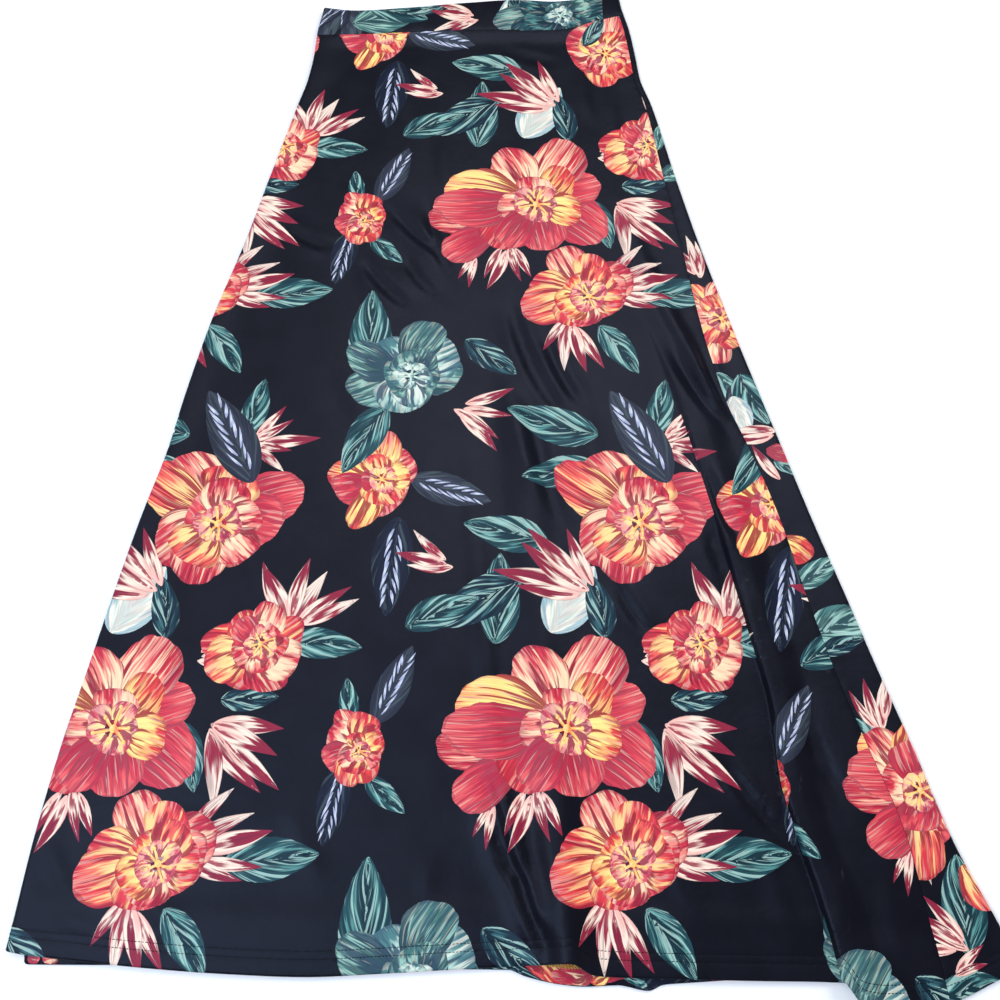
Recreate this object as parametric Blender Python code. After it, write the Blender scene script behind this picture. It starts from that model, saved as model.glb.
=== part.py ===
"""Flared maxi skirt with a plain waistband, laid flat on its back.

Each cut piece is one closed wall: skirt front, skirt back, waistband front and waistband back.
Lengths are metres.  "across" runs to +X from the centre-front line, and "drop" is the distance
below the waist seam, so +Y points from the hem to the waist.  The skirt lies turned a little on
the surface: the back piece comes round the right edge and meets the front piece on top.
"""

import math

import bmesh
import bpy
import numpy as np

# Cloth
WALL = 0.0010            # one layer of jersey
HEM_WALL = 0.0018        # the turned-up hem is two layers
BAND_WALL = 0.0020       # the waistband is folded double
SEAM_GAP = 0.0003        # cut pieces stay this far apart at a seam
HEM_DEPTH = 0.021        # turned-up hem, from the fold to the raw edge inside
HEM_RISE = 0.062         # the upper layer starts to rise over the thick hem this far up

# Heights of the upper layer's outer face, over the surface
SKIRT_TOP = 0.0026
HEM_TOP = 0.0044
BAND_TOP = 0.0056
EDGE_TOP = 0.0058        # the cloth stands a little prouder where it turns round a side
EDGE_REACH = 0.020       # how far in from a side that rise fades

# Seams that cross the top or the underside
BAND_SEAM_LEFT = -0.182
BAND_SEAM_RIGHT = 0.118
LEFT_SEAM_INSET = 0.030  # the left side seam lies under the skirt, this far in from the edge


def table(names, rows):
    """One numpy column for each name."""
    return dict(zip(names.split(), np.array(rows, dtype=float).T))


# The laid outline, with the right side seam where it runs over the top of the skirt
OUTLINE = table("drop left right seam", [
    (-0.060, -0.2025, 0.1365, 0.1300),
    (-0.035, -0.2034, 0.1400, 0.1335),
    (0.000, -0.2085, 0.1478, 0.1413),
    (0.035, -0.2104, 0.1527, 0.1460),
    (0.070, -0.2149, 0.1567, 0.1500),
    (0.105, -0.2236, 0.1671, 0.1598),
    (0.205, -0.2477, 0.1887, 0.1756),
    (0.283, -0.2660, 0.2068, 0.1882),
    (0.378, -0.2920, 0.2320, 0.2024),
    (0.462, -0.3098, 0.2555, 0.2200),
    (0.518, -0.3197, 0.2718, 0.2401),
    (0.590, -0.3375, 0.2925, 0.2629),
    (0.660, -0.3525, 0.3140, 0.2790),
    (0.733, -0.3670, 0.3360, 0.2980),
    (0.800, -0.3805, 0.3575, 0.3185),
    (0.880, -0.3922, 0.3815, 0.3425),
    (0.945, -0.3988, 0.4090, 0.3520),
    (1.000, -0.4060, 0.4285, 0.3590),
])

# The waist seam dips and rises a little, and so does the band's upper edge
WAIST = table("across seam top", [
    (-0.210, 0.0078, -0.0345),
    (-0.165, 0.0068, -0.0290),
    (-0.110, 0.0040, -0.0330),
    (-0.040, 0.0005, -0.0405),
    (0.020, 0.0000, -0.0450),
    (0.060, 0.0005, -0.0425),
    (0.085, -0.0035, -0.0450),
    (0.105, -0.0110, -0.0500),
    (0.125, -0.0172, -0.0550),
    (0.150, -0.0235, -0.0600),
])

# Hem edge of the upper layer.  The front's pleat drops the hem beyond it by a small step.
TOP_HEM = table("across drop", [
    (-0.405, 0.9600), (-0.384, 0.9641), (-0.350, 0.9675), (-0.300, 0.9725), (-0.220, 0.9781),
    (-0.156, 0.9803), (-0.100, 0.9781), (-0.050, 0.9755), (0.000, 0.9730), (0.035, 0.9713),
    (0.056, 0.9695), (0.078, 0.9795), (0.120, 0.9813), (0.200, 0.9830), (0.275, 0.9845),
    (0.290, 1.0015), (0.310, 1.0050), (0.340, 1.0035), (0.359, 0.9995), (0.376, 0.9933),
    (0.392, 0.9861), (0.410, 0.9780), (0.425, 0.9720),
])

# Hem edge of the lower layer, which peeks out below the front in two places
UNDER_HEM = table("across drop", [
    (-0.405, 0.9600), (-0.390, 0.9680), (-0.380, 0.9712), (-0.350, 0.9715), (-0.300, 0.9718),
    (-0.220, 0.9770), (-0.156, 0.9792), (-0.100, 0.9770), (-0.050, 0.9748), (0.000, 0.9752),
    (0.010, 0.9800), (0.035, 0.9860), (0.053, 0.9875), (0.080, 0.9865), (0.101, 0.9905),
    (0.117, 0.9861), (0.140, 0.9846), (0.200, 0.9820), (0.275, 0.9830), (0.340, 0.9850),
    (0.380, 0.9810), (0.425, 0.9720),
])

# The largest folds of the upper layer: each row is a station on the fold's crest
HEM_HUMP = table("drop across height half_width", [
    (0.000, -0.010, 0.0000, 0.016),
    (0.350, 0.000, 0.0000, 0.022),
    (0.600, 0.028, 0.0035, 0.028),
    (0.800, 0.044, 0.0060, 0.028),
    (0.920, 0.052, 0.0110, 0.027),
    (1.005, 0.058, 0.0170, 0.026),
])
PLEAT = table("drop across height half_width", [
    (0.000, 0.055, 0.0000, 0.008),
    (0.300, 0.130, 0.0000, 0.011),
    (0.450, 0.180, 0.0020, 0.014),
    (0.560, 0.207, 0.0045, 0.014),
    (0.700, 0.235, 0.0070, 0.013),
    (0.770, 0.2475, 0.0085, 0.012),
    (0.820, 0.2490, 0.0090, 0.011),
    (0.870, 0.258, 0.0085, 0.011),
    (0.920, 0.272, 0.0080, 0.012),
    (1.005, 0.289, 0.0080, 0.013),
])
SEAM_RIDGE = table("drop across height half_width", [
    (0.220, 0.125, 0.0000, 0.012),
    (0.300, 0.147, 0.0020, 0.013),
    (0.360, 0.168, 0.0038, 0.013),
    (0.440, 0.200, 0.0040, 0.013),
    (0.500, 0.216, 0.0000, 0.012),
])
DRAPE = table("drop across height half_width", [
    (0.500, -0.030, 0.0000, 0.016),
    (0.700, -0.015, 0.0025, 0.016),
    (0.840, 0.000, 0.0040, 0.014),
    (0.930, 0.024, 0.0050, 0.013),
    (0.965, 0.030, 0.0030, 0.012),
    (1.005, 0.034, 0.0000, 0.012),
])
PLEAT_LEAN = -0.25       # the pleat's crest leans left by this share of its height

# Broad soft swells, where air is left under the upper layer
SWELLS = table("across drop half_across half_drop height", [
    (-0.110, 0.180, 0.060, 0.110, 0.0030),
    (0.060, 0.260, 0.055, 0.140, 0.0035),
    (-0.190, 0.480, 0.070, 0.160, 0.0040),
    (-0.060, 0.640, 0.065, 0.130, 0.0030),
    (0.130, 0.640, 0.050, 0.150, 0.0040),
    (-0.270, 0.800, 0.070, 0.120, 0.0045),
    (0.160, 0.880, 0.050, 0.090, 0.0030),
    (0.315, 0.860, 0.035, 0.100, 0.0040),
])


def curve(rows, name, at, along="drop"):
    """A smooth curve through one column, which never overshoots its rows."""
    x, y = rows[along], rows[name]
    at = np.clip(np.asarray(at, dtype=float), x[0], x[-1])
    step, slope = np.diff(x), np.diff(y) / np.diff(x)
    tangent = np.zeros_like(y)
    tangent[0], tangent[-1] = slope[0], slope[-1]
    turns = slope[:-1] * slope[1:] > 0
    weight_a, weight_b = 2 * step[1:] + step[:-1], step[1:] + 2 * step[:-1]
    safe_a, safe_b = np.where(turns, slope[:-1], 1.0), np.where(turns, slope[1:], 1.0)
    mean = (weight_a + weight_b) / (weight_a / safe_a + weight_b / safe_b)
    tangent[1:-1] = np.where(turns, mean, 0.0)
    cell = np.clip(np.searchsorted(x, at, side="right") - 1, 0, len(step) - 1)
    h, t = step[cell], (at - x[cell]) / step[cell]
    start = (1 + 2 * t) * (1 - t) ** 2 * y[cell] + t * (1 - t) ** 2 * h * tangent[cell]
    end = t * t * (3 - 2 * t) * y[cell + 1] - t * t * (1 - t) * h * tangent[cell + 1]
    return start + end


def ease(t):
    """0 to 1 with level ends."""
    t = np.clip(t, 0.0, 1.0)
    return t * t * (3 - 2 * t)


def soft_ridge(rows, across, drop):
    """Height of a round fold with feathered feet."""
    t = (across - curve(rows, "across", drop)) / curve(rows, "half_width", drop)
    return curve(rows, "height", drop) * 0.5 * (1 + np.cos(math.pi * np.clip(t, -1, 1)))


def steep_ridge(rows, across, drop):
    """Height of a fold with steep flanks and a broad round top."""
    t = np.abs(across - curve(rows, "across", drop)) / curve(rows, "half_width", drop)
    crown = 1 - 0.25 * np.clip(t, 0, 1) ** 2
    return curve(rows, "height", drop) * crown * ease((1 - t) / 0.42)


def swell(across, drop):
    """Height of the broad swells together."""
    total = np.zeros_like(across)
    for i in range(len(SWELLS["across"])):
        a = (across - SWELLS["across"][i]) / SWELLS["half_across"][i]
        b = (drop - SWELLS["drop"][i]) / SWELLS["half_drop"][i]
        total = total + SWELLS["height"][i] * np.exp(-a * a - b * b)
    return total


def upper_layer(across, drop, to_hem, to_waist):
    """Outer face of the upper layer: its height and its sideways lean."""
    left, right = curve(OUTLINE, "left", drop), curve(OUTLINE, "right", drop)
    from_side = np.minimum(across - left, right - across)
    inner = ease(from_side / (3 * EDGE_REACH))
    pleat = steep_ridge(PLEAT, across, drop)
    folds = soft_ridge(HEM_HUMP, across, drop) + soft_ridge(SEAM_RIDGE, across, drop) + pleat
    folds = folds + soft_ridge(DRAPE, across, drop) + inner * swell(across, drop)
    folds = folds * ease(to_waist / 0.05)
    level = SKIRT_TOP + (HEM_TOP - SKIRT_TOP) * ease((HEM_RISE - to_hem) / 0.022)
    level = level + (BAND_TOP - SKIRT_TOP) * ease(1 - to_waist / 0.02)
    side_rise = np.maximum(EDGE_TOP - level, 0) * np.exp(-((from_side / EDGE_REACH) ** 2))
    return level + side_rise + folds, PLEAT_LEAN * pleat


def skirt_wall(to_hem):
    """Wall thickness, which steps up where the hem is turned."""
    return WALL + (HEM_WALL - WALL) * ease((HEM_DEPTH + 0.002 - to_hem) / 0.002)


def inset(profile, wall):
    """The inner face of one section: each point moves in along the section's normal.

    The ends lie level, so that two pieces that meet there keep their gap through the wall.
    """
    step = np.diff(profile, axis=0)
    step /= np.linalg.norm(step, axis=1)[:, None]
    normal = np.stack([-step[:, 1], step[:, 0]], axis=1)
    before, after = np.vstack([normal[:1], normal]), np.vstack([normal, normal[-1:]])
    for end in (0, -1):
        before[end] = after[end] = (0.0, math.copysign(1.0, before[end, 1]))
    mitre = before + after
    mitre /= np.maximum((mitre * before).sum(axis=1), 0.5)[:, None]
    return profile - mitre * wall[:, None]


def stations(stops, counts):
    """Values from stop to stop, each stretch cut into its own number of equal steps."""
    parts = [np.linspace(a, b, n, endpoint=False) for a, b, n in zip(stops, stops[1:], counts)]
    return np.append(np.concatenate(parts), stops[-1])


def turn_left(left, height, steps):
    """The left side's turn, from the surface up to the upper layer."""
    angles = np.linspace(-90, 90, steps + 1)[1:-1]
    r = height / 2
    return [(left + r - r * math.cos(math.radians(a)), r + r * math.sin(math.radians(a))) for a in angles]


def turn_right(right, height, steps):
    """The right side's turn, from the upper layer down to the surface."""
    return [(2 * right - x, z) for x, z in reversed(turn_left(right, height, steps))]


class Row:
    """One level of the garment, a share of the way from the waist seam to the hem."""

    def __init__(self, share):
        self.share = share
        self.left, self.left_drop = self.meet("left")
        self.right, self.right_drop = self.meet("right")
        self.seam, _ = self.meet("seam")
        self.middle_drop = float(self.drop(np.array([0.0]))[0])

    def drop(self, across, hem=TOP_HEM):
        top = curve(WAIST, "seam", across, "across") + SEAM_GAP
        return top + self.share * (curve(hem, "drop", across, "across") - top)

    def meet(self, side):
        """Where this level's line runs into the outline."""
        across = float(curve(OUTLINE, side, self.share))
        for _ in range(8):
            drop = float(self.drop(np.array([across]))[0])
            across = float(curve(OUTLINE, side, drop))
        return across, drop

    def at(self, rows, name="across"):
        return float(curve(rows, name, self.middle_drop))


def layers(row, across):
    """Distances of upper-layer points from the hem and from the waist seam."""
    drop = row.drop(across)
    to_hem = curve(TOP_HEM, "drop", across, "across") - drop
    to_waist = drop - curve(WAIST, "seam", across, "across")
    return drop, to_hem, to_waist


def upper_stretch(row, across):
    """Section points, drops and wall thicknesses along the upper layer."""
    drop, to_hem, to_waist = layers(row, across)
    height, lean = upper_layer(across, drop, to_hem, to_waist)
    return np.stack([across + lean, height], axis=1), drop, skirt_wall(to_hem)


def side_height(row, side):
    """Height of the upper layer where it reaches a side."""
    inward = 0.003 if side == "left" else -0.003
    return float(upper_stretch(row, np.array([getattr(row, side) + inward]))[0][0, 1])


def under_stretch(row, across):
    """Section points, drops and wall thicknesses along the lower layer."""
    drop = row.drop(across, UNDER_HEM)
    to_hem = curve(UNDER_HEM, "drop", across, "across") - drop
    return np.stack([across, np.zeros_like(across)], axis=1), drop, skirt_wall(to_hem)


def join(row, stretches):
    """Outer and inner faces of one section, as (x, y, z) points."""
    profile = np.vstack([s[0] for s in stretches])
    drop = np.concatenate([s[1] for s in stretches])
    inner = inset(profile, np.concatenate([s[2] for s in stretches]))
    outer_points = np.stack([profile[:, 0], -drop, profile[:, 1]], axis=1)
    inner_points = np.stack([inner[:, 0], -drop, inner[:, 1]], axis=1)
    return outer_points, inner_points


def side_stretch(row, side, steps=4):
    """The turn round a side, which passes from the upper hem's line to the lower one's."""
    height, edge = side_height(row, side), getattr(row, side)
    points = np.array(turn_left(edge, height, steps) if side == "left" else turn_right(edge, height, steps))
    over, under = row.drop(points[:, 0]), row.drop(points[:, 0], UNDER_HEM)
    to_hem = float(curve(TOP_HEM, "drop", edge, "across")) - getattr(row, side + "_drop")
    drop = under + (over - under) * points[:, 1] / height
    return points, drop, skirt_wall(np.full(len(points), to_hem))


def front_section(row):
    """The front piece: from the left seam underneath, round the left side, to the seam on top."""
    turn = side_height(row, "left") / 2
    hump, hump_wide = row.at(HEM_HUMP), row.at(HEM_HUMP, "half_width")
    pleat, pleat_wide = row.at(PLEAT), row.at(PLEAT, "half_width")
    under = np.linspace(row.left + LEFT_SEAM_INSET, row.left + turn, 3)
    fold_feet = [hump - hump_wide, hump + hump_wide, pleat - pleat_wide, pleat + pleat_wide]
    stops = [row.left + turn, *fold_feet, row.seam - SEAM_GAP / 2]
    top = stations(stops, [12, 7, 4, 8, 4])
    return join(row, [under_stretch(row, under), side_stretch(row, "left"), upper_stretch(row, top)])


def back_section(row):
    """The back piece: from the seam on top, round the right side, and flat underneath."""
    turn = side_height(row, "right") / 2
    top = np.linspace(row.seam + SEAM_GAP / 2, row.right - turn, 6)
    spread = row.right / 0.42
    left_seam = row.left + LEFT_SEAM_INSET + SEAM_GAP
    under = stations([row.right - turn, 0.15 * spread, -0.01 * spread, left_seam], [7, 13, 9])
    return join(row, [upper_stretch(row, top), side_stretch(row, "right"), under_stretch(row, under)])


def band_level(share, across):
    """Drop of a waistband level, a share of the way from its upper edge to the waist seam."""
    top = curve(WAIST, "top", across, "across")
    return top + share * (curve(WAIST, "seam", across, "across") - top)


def band_side(share, side):
    """Where a waistband level meets the outline."""
    across = float(curve(OUTLINE, side, 0.0))
    for _ in range(8):
        across = float(curve(OUTLINE, side, float(band_level(share, np.array([across]))[0])))
    return across


def band_section(share, names):
    """A stretch of the waistband's flattened loop, by the names of its parts."""
    turn = BAND_TOP / 2
    left, right = band_side(share, "left"), band_side(share, "right")
    half = SEAM_GAP / 2
    flat = {
        "front": (np.linspace(BAND_SEAM_LEFT + half, BAND_SEAM_RIGHT - half, 17), BAND_TOP),
        "right end": (np.linspace(BAND_SEAM_RIGHT + half, right - turn, 4), BAND_TOP),
        "under": (np.linspace(right - turn, left + turn, 19), 0.0),
        "left end": (np.linspace(left + turn, BAND_SEAM_LEFT - half, 4), BAND_TOP),
    }
    pieces = []
    for name in names:
        if name in flat:
            across, height = flat[name]
            pieces.append(np.stack([across, np.full_like(across, height)], axis=1))
        else:
            turned = turn_left(left, BAND_TOP, 6) if name == "left turn" else turn_right(right, BAND_TOP, 6)
            pieces.append(np.array(turned))
    profile = np.vstack(pieces)
    drop = band_level(share, profile[:, 0])
    inner = inset(profile, np.full(len(profile), BAND_WALL))
    return (np.stack([profile[:, 0], -drop, profile[:, 1]], axis=1),
            np.stack([inner[:, 0], -drop, inner[:, 1]], axis=1))


def wall_object(name, sections, material):
    """A closed wall between an outer and an inner grid of points."""
    mesh = bmesh.new()
    outer = [[mesh.verts.new(p) for p in outer_points] for outer_points, _ in sections]
    inner = [[mesh.verts.new(p) for p in inner_points] for _, inner_points in sections]
    rows, columns = len(outer), len(outer[0])
    for j in range(rows - 1):
        for i in range(columns - 1):
            mesh.faces.new((outer[j][i], outer[j][i + 1], outer[j + 1][i + 1], outer[j + 1][i]))
            mesh.faces.new((inner[j][i], inner[j + 1][i], inner[j + 1][i + 1], inner[j][i + 1]))
    for i in range(columns - 1):
        mesh.faces.new((outer[0][i + 1], outer[0][i], inner[0][i], inner[0][i + 1]))
        mesh.faces.new((outer[-1][i], outer[-1][i + 1], inner[-1][i + 1], inner[-1][i]))
    for j in range(rows - 1):
        mesh.faces.new((outer[j][0], outer[j + 1][0], inner[j + 1][0], inner[j][0]))
        mesh.faces.new((outer[j + 1][-1], outer[j][-1], inner[j][-1], inner[j + 1][-1]))
    if mesh.calc_volume(signed=True) < 0:
        bmesh.ops.reverse_faces(mesh, faces=mesh.faces[:])
    data = bpy.data.meshes.new(name)
    mesh.to_mesh(data)
    mesh.free()
    data.shade_smooth()
    data.set_sharp_from_angle(angle=math.radians(50))
    data.materials.append(material)
    piece = bpy.data.objects.new(name, data)
    bpy.context.scene.collection.objects.link(piece)
    return piece


def cloth_material(name, color, roughness):
    material = bpy.data.materials.new(name)
    material.use_nodes = True
    shader = material.node_tree.nodes["Principled BSDF"]
    shader.inputs["Base Color"].default_value = (*color, 1.0)
    shader.inputs["Roughness"].default_value = roughness
    shader.inputs["Metallic"].default_value = 0.0
    material.diffuse_color = (*color, 1.0)
    return material


def row_shares():
    """Levels of the skirt: evenly spaced, closer at the waist seam and at the hem's step."""
    length = float(curve(TOP_HEM, "drop", 0.0, "across"))
    hem_start = length - HEM_DEPTH
    body = np.linspace(0.030, hem_start - 0.016, 27)
    drops = np.concatenate([[0.0, 0.012], body, [hem_start - 0.003, hem_start, hem_start + 0.013, length]])
    return drops / length


def origin_at_bottom_centre(pieces):
    """Move the pieces together, so that the origin is the middle of their footprint."""
    points = np.array([v.co[:] for piece in pieces for v in piece.data.vertices])
    low, high = points.min(axis=0), points.max(axis=0)
    for piece in pieces:
        for vertex in piece.data.vertices:
            vertex.co.x -= (low[0] + high[0]) / 2
            vertex.co.y -= (low[1] + high[1]) / 2
            vertex.co.z -= low[2]


def build():
    for leftover in list(bpy.data.objects):
        bpy.data.objects.remove(leftover, do_unlink=True)
    jersey = cloth_material("printed_jersey", (0.022, 0.026, 0.045), 0.42)
    band = cloth_material("band_jersey", (0.030, 0.034, 0.048), 0.45)
    levels = [Row(share) for share in row_shares()]
    band_shares = np.linspace(0.0, 1.0, 5)
    pieces = [
        wall_object("skirt_front", [front_section(row) for row in levels], jersey),
        wall_object("skirt_back", [back_section(row) for row in levels], jersey),
        wall_object("waistband_front", [band_section(s, ["front"]) for s in band_shares], band),
        wall_object("waistband_back", [
            band_section(s, ["right end", "right turn", "under", "left turn", "left end"])
            for s in band_shares], band),
    ]
    origin_at_bottom_centre(pieces)


build()
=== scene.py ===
"""A printed jersey maxi skirt laid flat on its back: the cloth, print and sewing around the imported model."""

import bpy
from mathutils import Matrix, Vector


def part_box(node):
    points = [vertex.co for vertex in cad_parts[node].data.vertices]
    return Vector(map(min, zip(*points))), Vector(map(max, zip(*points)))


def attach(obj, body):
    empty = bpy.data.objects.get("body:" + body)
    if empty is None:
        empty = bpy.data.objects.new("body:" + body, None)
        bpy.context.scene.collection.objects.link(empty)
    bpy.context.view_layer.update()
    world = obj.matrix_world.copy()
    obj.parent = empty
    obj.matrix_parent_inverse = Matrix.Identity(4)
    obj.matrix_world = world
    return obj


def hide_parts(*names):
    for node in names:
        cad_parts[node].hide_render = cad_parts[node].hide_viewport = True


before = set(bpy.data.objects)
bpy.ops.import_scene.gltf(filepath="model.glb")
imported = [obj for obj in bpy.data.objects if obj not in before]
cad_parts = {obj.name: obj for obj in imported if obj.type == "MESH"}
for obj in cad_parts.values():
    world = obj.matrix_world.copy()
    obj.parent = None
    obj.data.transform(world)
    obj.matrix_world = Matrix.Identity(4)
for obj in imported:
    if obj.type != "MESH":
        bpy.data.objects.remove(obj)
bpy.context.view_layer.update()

import copy
import random
from functools import partial
from math import atan2, cos, hypot, pi, radians, sin

import bmesh
import bpy
import numpy as np
from mathutils import Vector
from mathutils.geometry import delaunay_2d_cdt

# ------------------------------------------------
# The garment's sizes, as in the CAD source.  "across" runs to +X, "drop" is below the waist seam.
WALL, HEM_WALL, BAND_WALL = 0.0010, 0.0018, 0.0020
SEAM_GAP = 0.0003
HALF_GAP = SEAM_GAP / 2
HEM_DEPTH, HEM_RISE = 0.021, 0.062
SKIRT_TOP, HEM_TOP, BAND_TOP = 0.0026, 0.0044, 0.0056
EDGE_TOP, EDGE_REACH = 0.0058, 0.020
BAND_SEAM_LEFT, BAND_SEAM_RIGHT = -0.182, 0.118
LEFT_SEAM_INSET = 0.030
STITCH_ROWS = 0.019, 0.013       # above the hem's edge
WAIST_AT = 0.8995                # the print's own height where the waist seam runs


def metres(millimetres):
    """Metres, from millimetres with one decimal at most."""
    return np.round(np.asarray(millimetres, dtype=float) * 10) / 10000


def table(names, rows):
    """One column in metres for each name, from rows in millimetres.  Curves run over the first one."""
    return dict(zip(names.split(), metres(rows).T))


OUTLINE = table("drop left right seam", [
    (-60, -202.5, 136.5, 130), (-35, -203.4, 140, 133.5), (0, -208.5, 147.8, 141.3),
    (35, -210.4, 152.7, 146), (70, -214.9, 156.7, 150), (105, -223.6, 167.1, 159.8),
    (205, -247.7, 188.7, 175.6), (283, -266, 206.8, 188.2), (378, -292, 232, 202.4),
    (462, -309.8, 255.5, 220), (518, -319.7, 271.8, 240.1), (590, -337.5, 292.5, 262.9),
    (660, -352.5, 314, 279), (733, -367, 336, 298), (800, -380.5, 357.5, 318.5),
    (880, -392.2, 381.5, 342.5), (945, -398.8, 409, 352), (1000, -406, 428.5, 359),
])
WAIST = table("across seam top", [
    (-210, 7.8, -34.5), (-165, 6.8, -29), (-110, 4, -33), (-40, 0.5, -40.5), (20, 0, -45),
    (60, 0.5, -42.5), (85, -3.5, -45), (105, -11, -50), (125, -17.2, -55), (150, -23.5, -60),
])
TOP_HEM = table("across drop", [
    (-405, 960), (-384, 964.1), (-350, 967.5), (-300, 972.5), (-220, 978.1), (-156, 980.3),
    (-100, 978.1), (-50, 975.5), (0, 973), (35, 971.3), (56, 969.5), (78, 979.5), (120, 981.3),
    (200, 983), (275, 984.5), (290, 1001.5), (310, 1005), (340, 1003.5), (359, 999.5),
    (376, 993.3), (392, 986.1), (410, 978), (425, 972),
])
UNDER_HEM = table("across drop", [
    (-405, 960), (-386.5, 963.8), (-383, 970.3), (-380, 971.2), (-350, 971.5), (-300, 971.8),
    (-220, 977), (-156, 979.2), (-100, 977), (-50, 974.8), (0, 975.2), (10, 980), (35, 986),
    (53, 987.5), (80, 986.5), (101, 990.5), (117, 986.1), (140, 984.6), (200, 982), (275, 983),
    (340, 985), (380, 981), (425, 972),
])
FOLD = "drop across height half_width"
HEM_HUMP = table(FOLD, [
    (0, -10, 0, 16), (350, 0, 0, 22), (600, 28, 3.5, 28), (800, 44, 6, 28), (920, 52, 11, 27),
    (1005, 58, 17, 26),
])
PLEAT = table(FOLD, [
    (0, 55, 0, 8), (300, 130, 0, 11), (450, 180, 2, 14), (560, 207, 4.5, 14), (700, 235, 7, 13),
    (770, 247.5, 8.5, 12), (820, 249, 9, 11), (870, 258, 8.5, 11), (920, 272, 8, 12),
    (1005, 289, 8, 13),
])
PLEAT_LEAN = -0.25
SEAM_RIDGE = table(FOLD, [
    (220, 125, 0, 12), (300, 147, 2, 13), (360, 168, 3.8, 13), (440, 200, 4, 13), (500, 216, 0, 12),
])
DRAPE = table(FOLD, [
    (500, -30, 0, 16), (700, -15, 2.5, 16), (840, 0, 4, 14), (930, 24, 5, 13), (965, 30, 3, 12),
    (1005, 34, 0, 12),
])
SWELLS = table("across drop half_across half_drop height", [
    (-110, 180, 60, 110, 3), (60, 260, 55, 140, 3.5), (-190, 480, 70, 160, 4),
    (-60, 640, 65, 130, 3), (130, 640, 50, 150, 4), (-270, 800, 70, 120, 4.5),
    (160, 880, 50, 90, 3), (315, 860, 35, 100, 4),
])

# Smaller creases, placed one by one from end to end, each end as (across, drop).
# A trough's height is negative, and it has soft shoulders.
CREASES = table("x0 y0 x1 y1 height half_width", [
    (-60, 135, -50, 240, 1.5, 10), (-105, 20, -98, 150, 1.2, 9), (90, 45, 104, 140, 1.6, 9),
    (122, 60, 140, 190, 1.4, 8), (-231, 258, -172, 296, -2.2, 6.5), (-124, 232, -44, 312, -2.4, 6.5),
    (-145, 302, -88, 366, -2.6, 6.5), (-101, 300, -62, 352, -1.8, 6), (-78, 225, -46, 335, -2, 6.5),
    (8, 348, 66, 494, -2.8, 7), (44, 392, 84, 480, -2, 6), (166, 395, 232, 512, -3.2, 7.5),
    (197, 398, 238, 506, -2.4, 6), (-14, 16, 70, 48, -1.6, 7), (104, 646, 138, 706, -2, 6.5),
    (5, 430, 48, 585, 2.6, 11), (30, 450, 64, 610, -2.2, 9), (75, 440, 120, 600, 1.8, 12),
    (196, 590, 218, 665, -2.2, 8), (192, 518, 237, 636, -3, 7), (222, 640, 250, 780, 1.6, 9),
    (262, 740, 300, 860, -2.4, 9), (188, 805, 256, 888, -3.6, 6.5), (150, 790, 205, 800, 1.4, 9),
    (36, 845, 56, 940, 2.2, 8), (-12, 820, 30, 935, -4.4, 7), (14, 890, 38, 962, -5.2, 6),
    (60, 640, 72, 760, 1.4, 10), (-330, 855, -150, 850, 1.2, 8), (-180, 838, -140, 920, 1.5, 10),
    (-345, 700, -285, 800, 1.6, 11), (-250, 560, -215, 690, 1.5, 12), (-300, 900, -255, 955, 1.5, 9),
    (-60, 880, -50, 960, 1.4, 9), (-380, 870, -345, 930, 1.6, 8), (-370, 930, -320, 945, 1, 6),
    (130, 860, 175, 950, 1.7, 10), (330, 780, 352, 900, 1.8, 9), (318, 900, 330, 985, 1.7, 8),
    (372, 890, 392, 955, 1.4, 8), (-160, 420, -110, 520, 1.4, 12), (40, 290, 85, 450, 1.8, 12),
    (245, 520, 270, 640, 1.6, 8), (20, 150, 46, 300, 1.4, 11), (225, 860, 240, 960, 1.4, 8),
])
BOW = 0.05                       # how far a crease bows to one side, for its length
TROUGH, SHOULDER, SHOULDER_WIDTH = 2.2, 1.4, 2.2
GATHERS, PUCKERS = 0.00022, 0.00012          # heights of the small waves at the waist and the top seam
STITCH_DIP, SEAM_DIP = 0.0003, 0.0004        # how far sewing draws the cloth in


def curve(rows, name, at):
    """A smooth curve through one column over the first, which never overshoots its rows."""
    x, y = next(iter(rows.values())), rows[name]
    at = np.clip(np.asarray(at, dtype=float), x[0], x[-1])
    step, slope = np.diff(x), np.diff(y) / np.diff(x)
    tangent = np.zeros_like(y)
    tangent[0], tangent[-1] = slope[0], slope[-1]
    turns = slope[:-1] * slope[1:] > 0
    weight_a, weight_b = 2 * step[1:] + step[:-1], step[1:] + 2 * step[:-1]
    safe_a, safe_b = np.where(turns, slope[:-1], 1.0), np.where(turns, slope[1:], 1.0)
    mean = (weight_a + weight_b) / (weight_a / safe_a + weight_b / safe_b)
    tangent[1:-1] = np.where(turns, mean, 0.0)
    cell = np.clip(np.searchsorted(x, at, side="right") - 1, 0, len(step) - 1)
    h, t = step[cell], (at - x[cell]) / step[cell]
    start = (1 + 2 * t) * (1 - t) ** 2 * y[cell] + t * (1 - t) ** 2 * h * tangent[cell]
    end = t * t * (3 - 2 * t) * y[cell + 1] - t * t * (1 - t) * h * tangent[cell + 1]
    return start + end


def columns(*values):
    """Points, or other rows, from arrays of their numbers."""
    return np.stack(values, axis=1)


def ease(t):
    """0 to 1 with level ends."""
    t = np.clip(t, 0.0, 1.0)
    return t * t * (3 - 2 * t)


def soft_ridge(rows, across, drop):
    """Height of a round fold with feathered feet."""
    t = (across - curve(rows, "across", drop)) / curve(rows, "half_width", drop)
    return curve(rows, "height", drop) * 0.5 * (1 + np.cos(pi * np.clip(t, -1, 1)))


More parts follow.
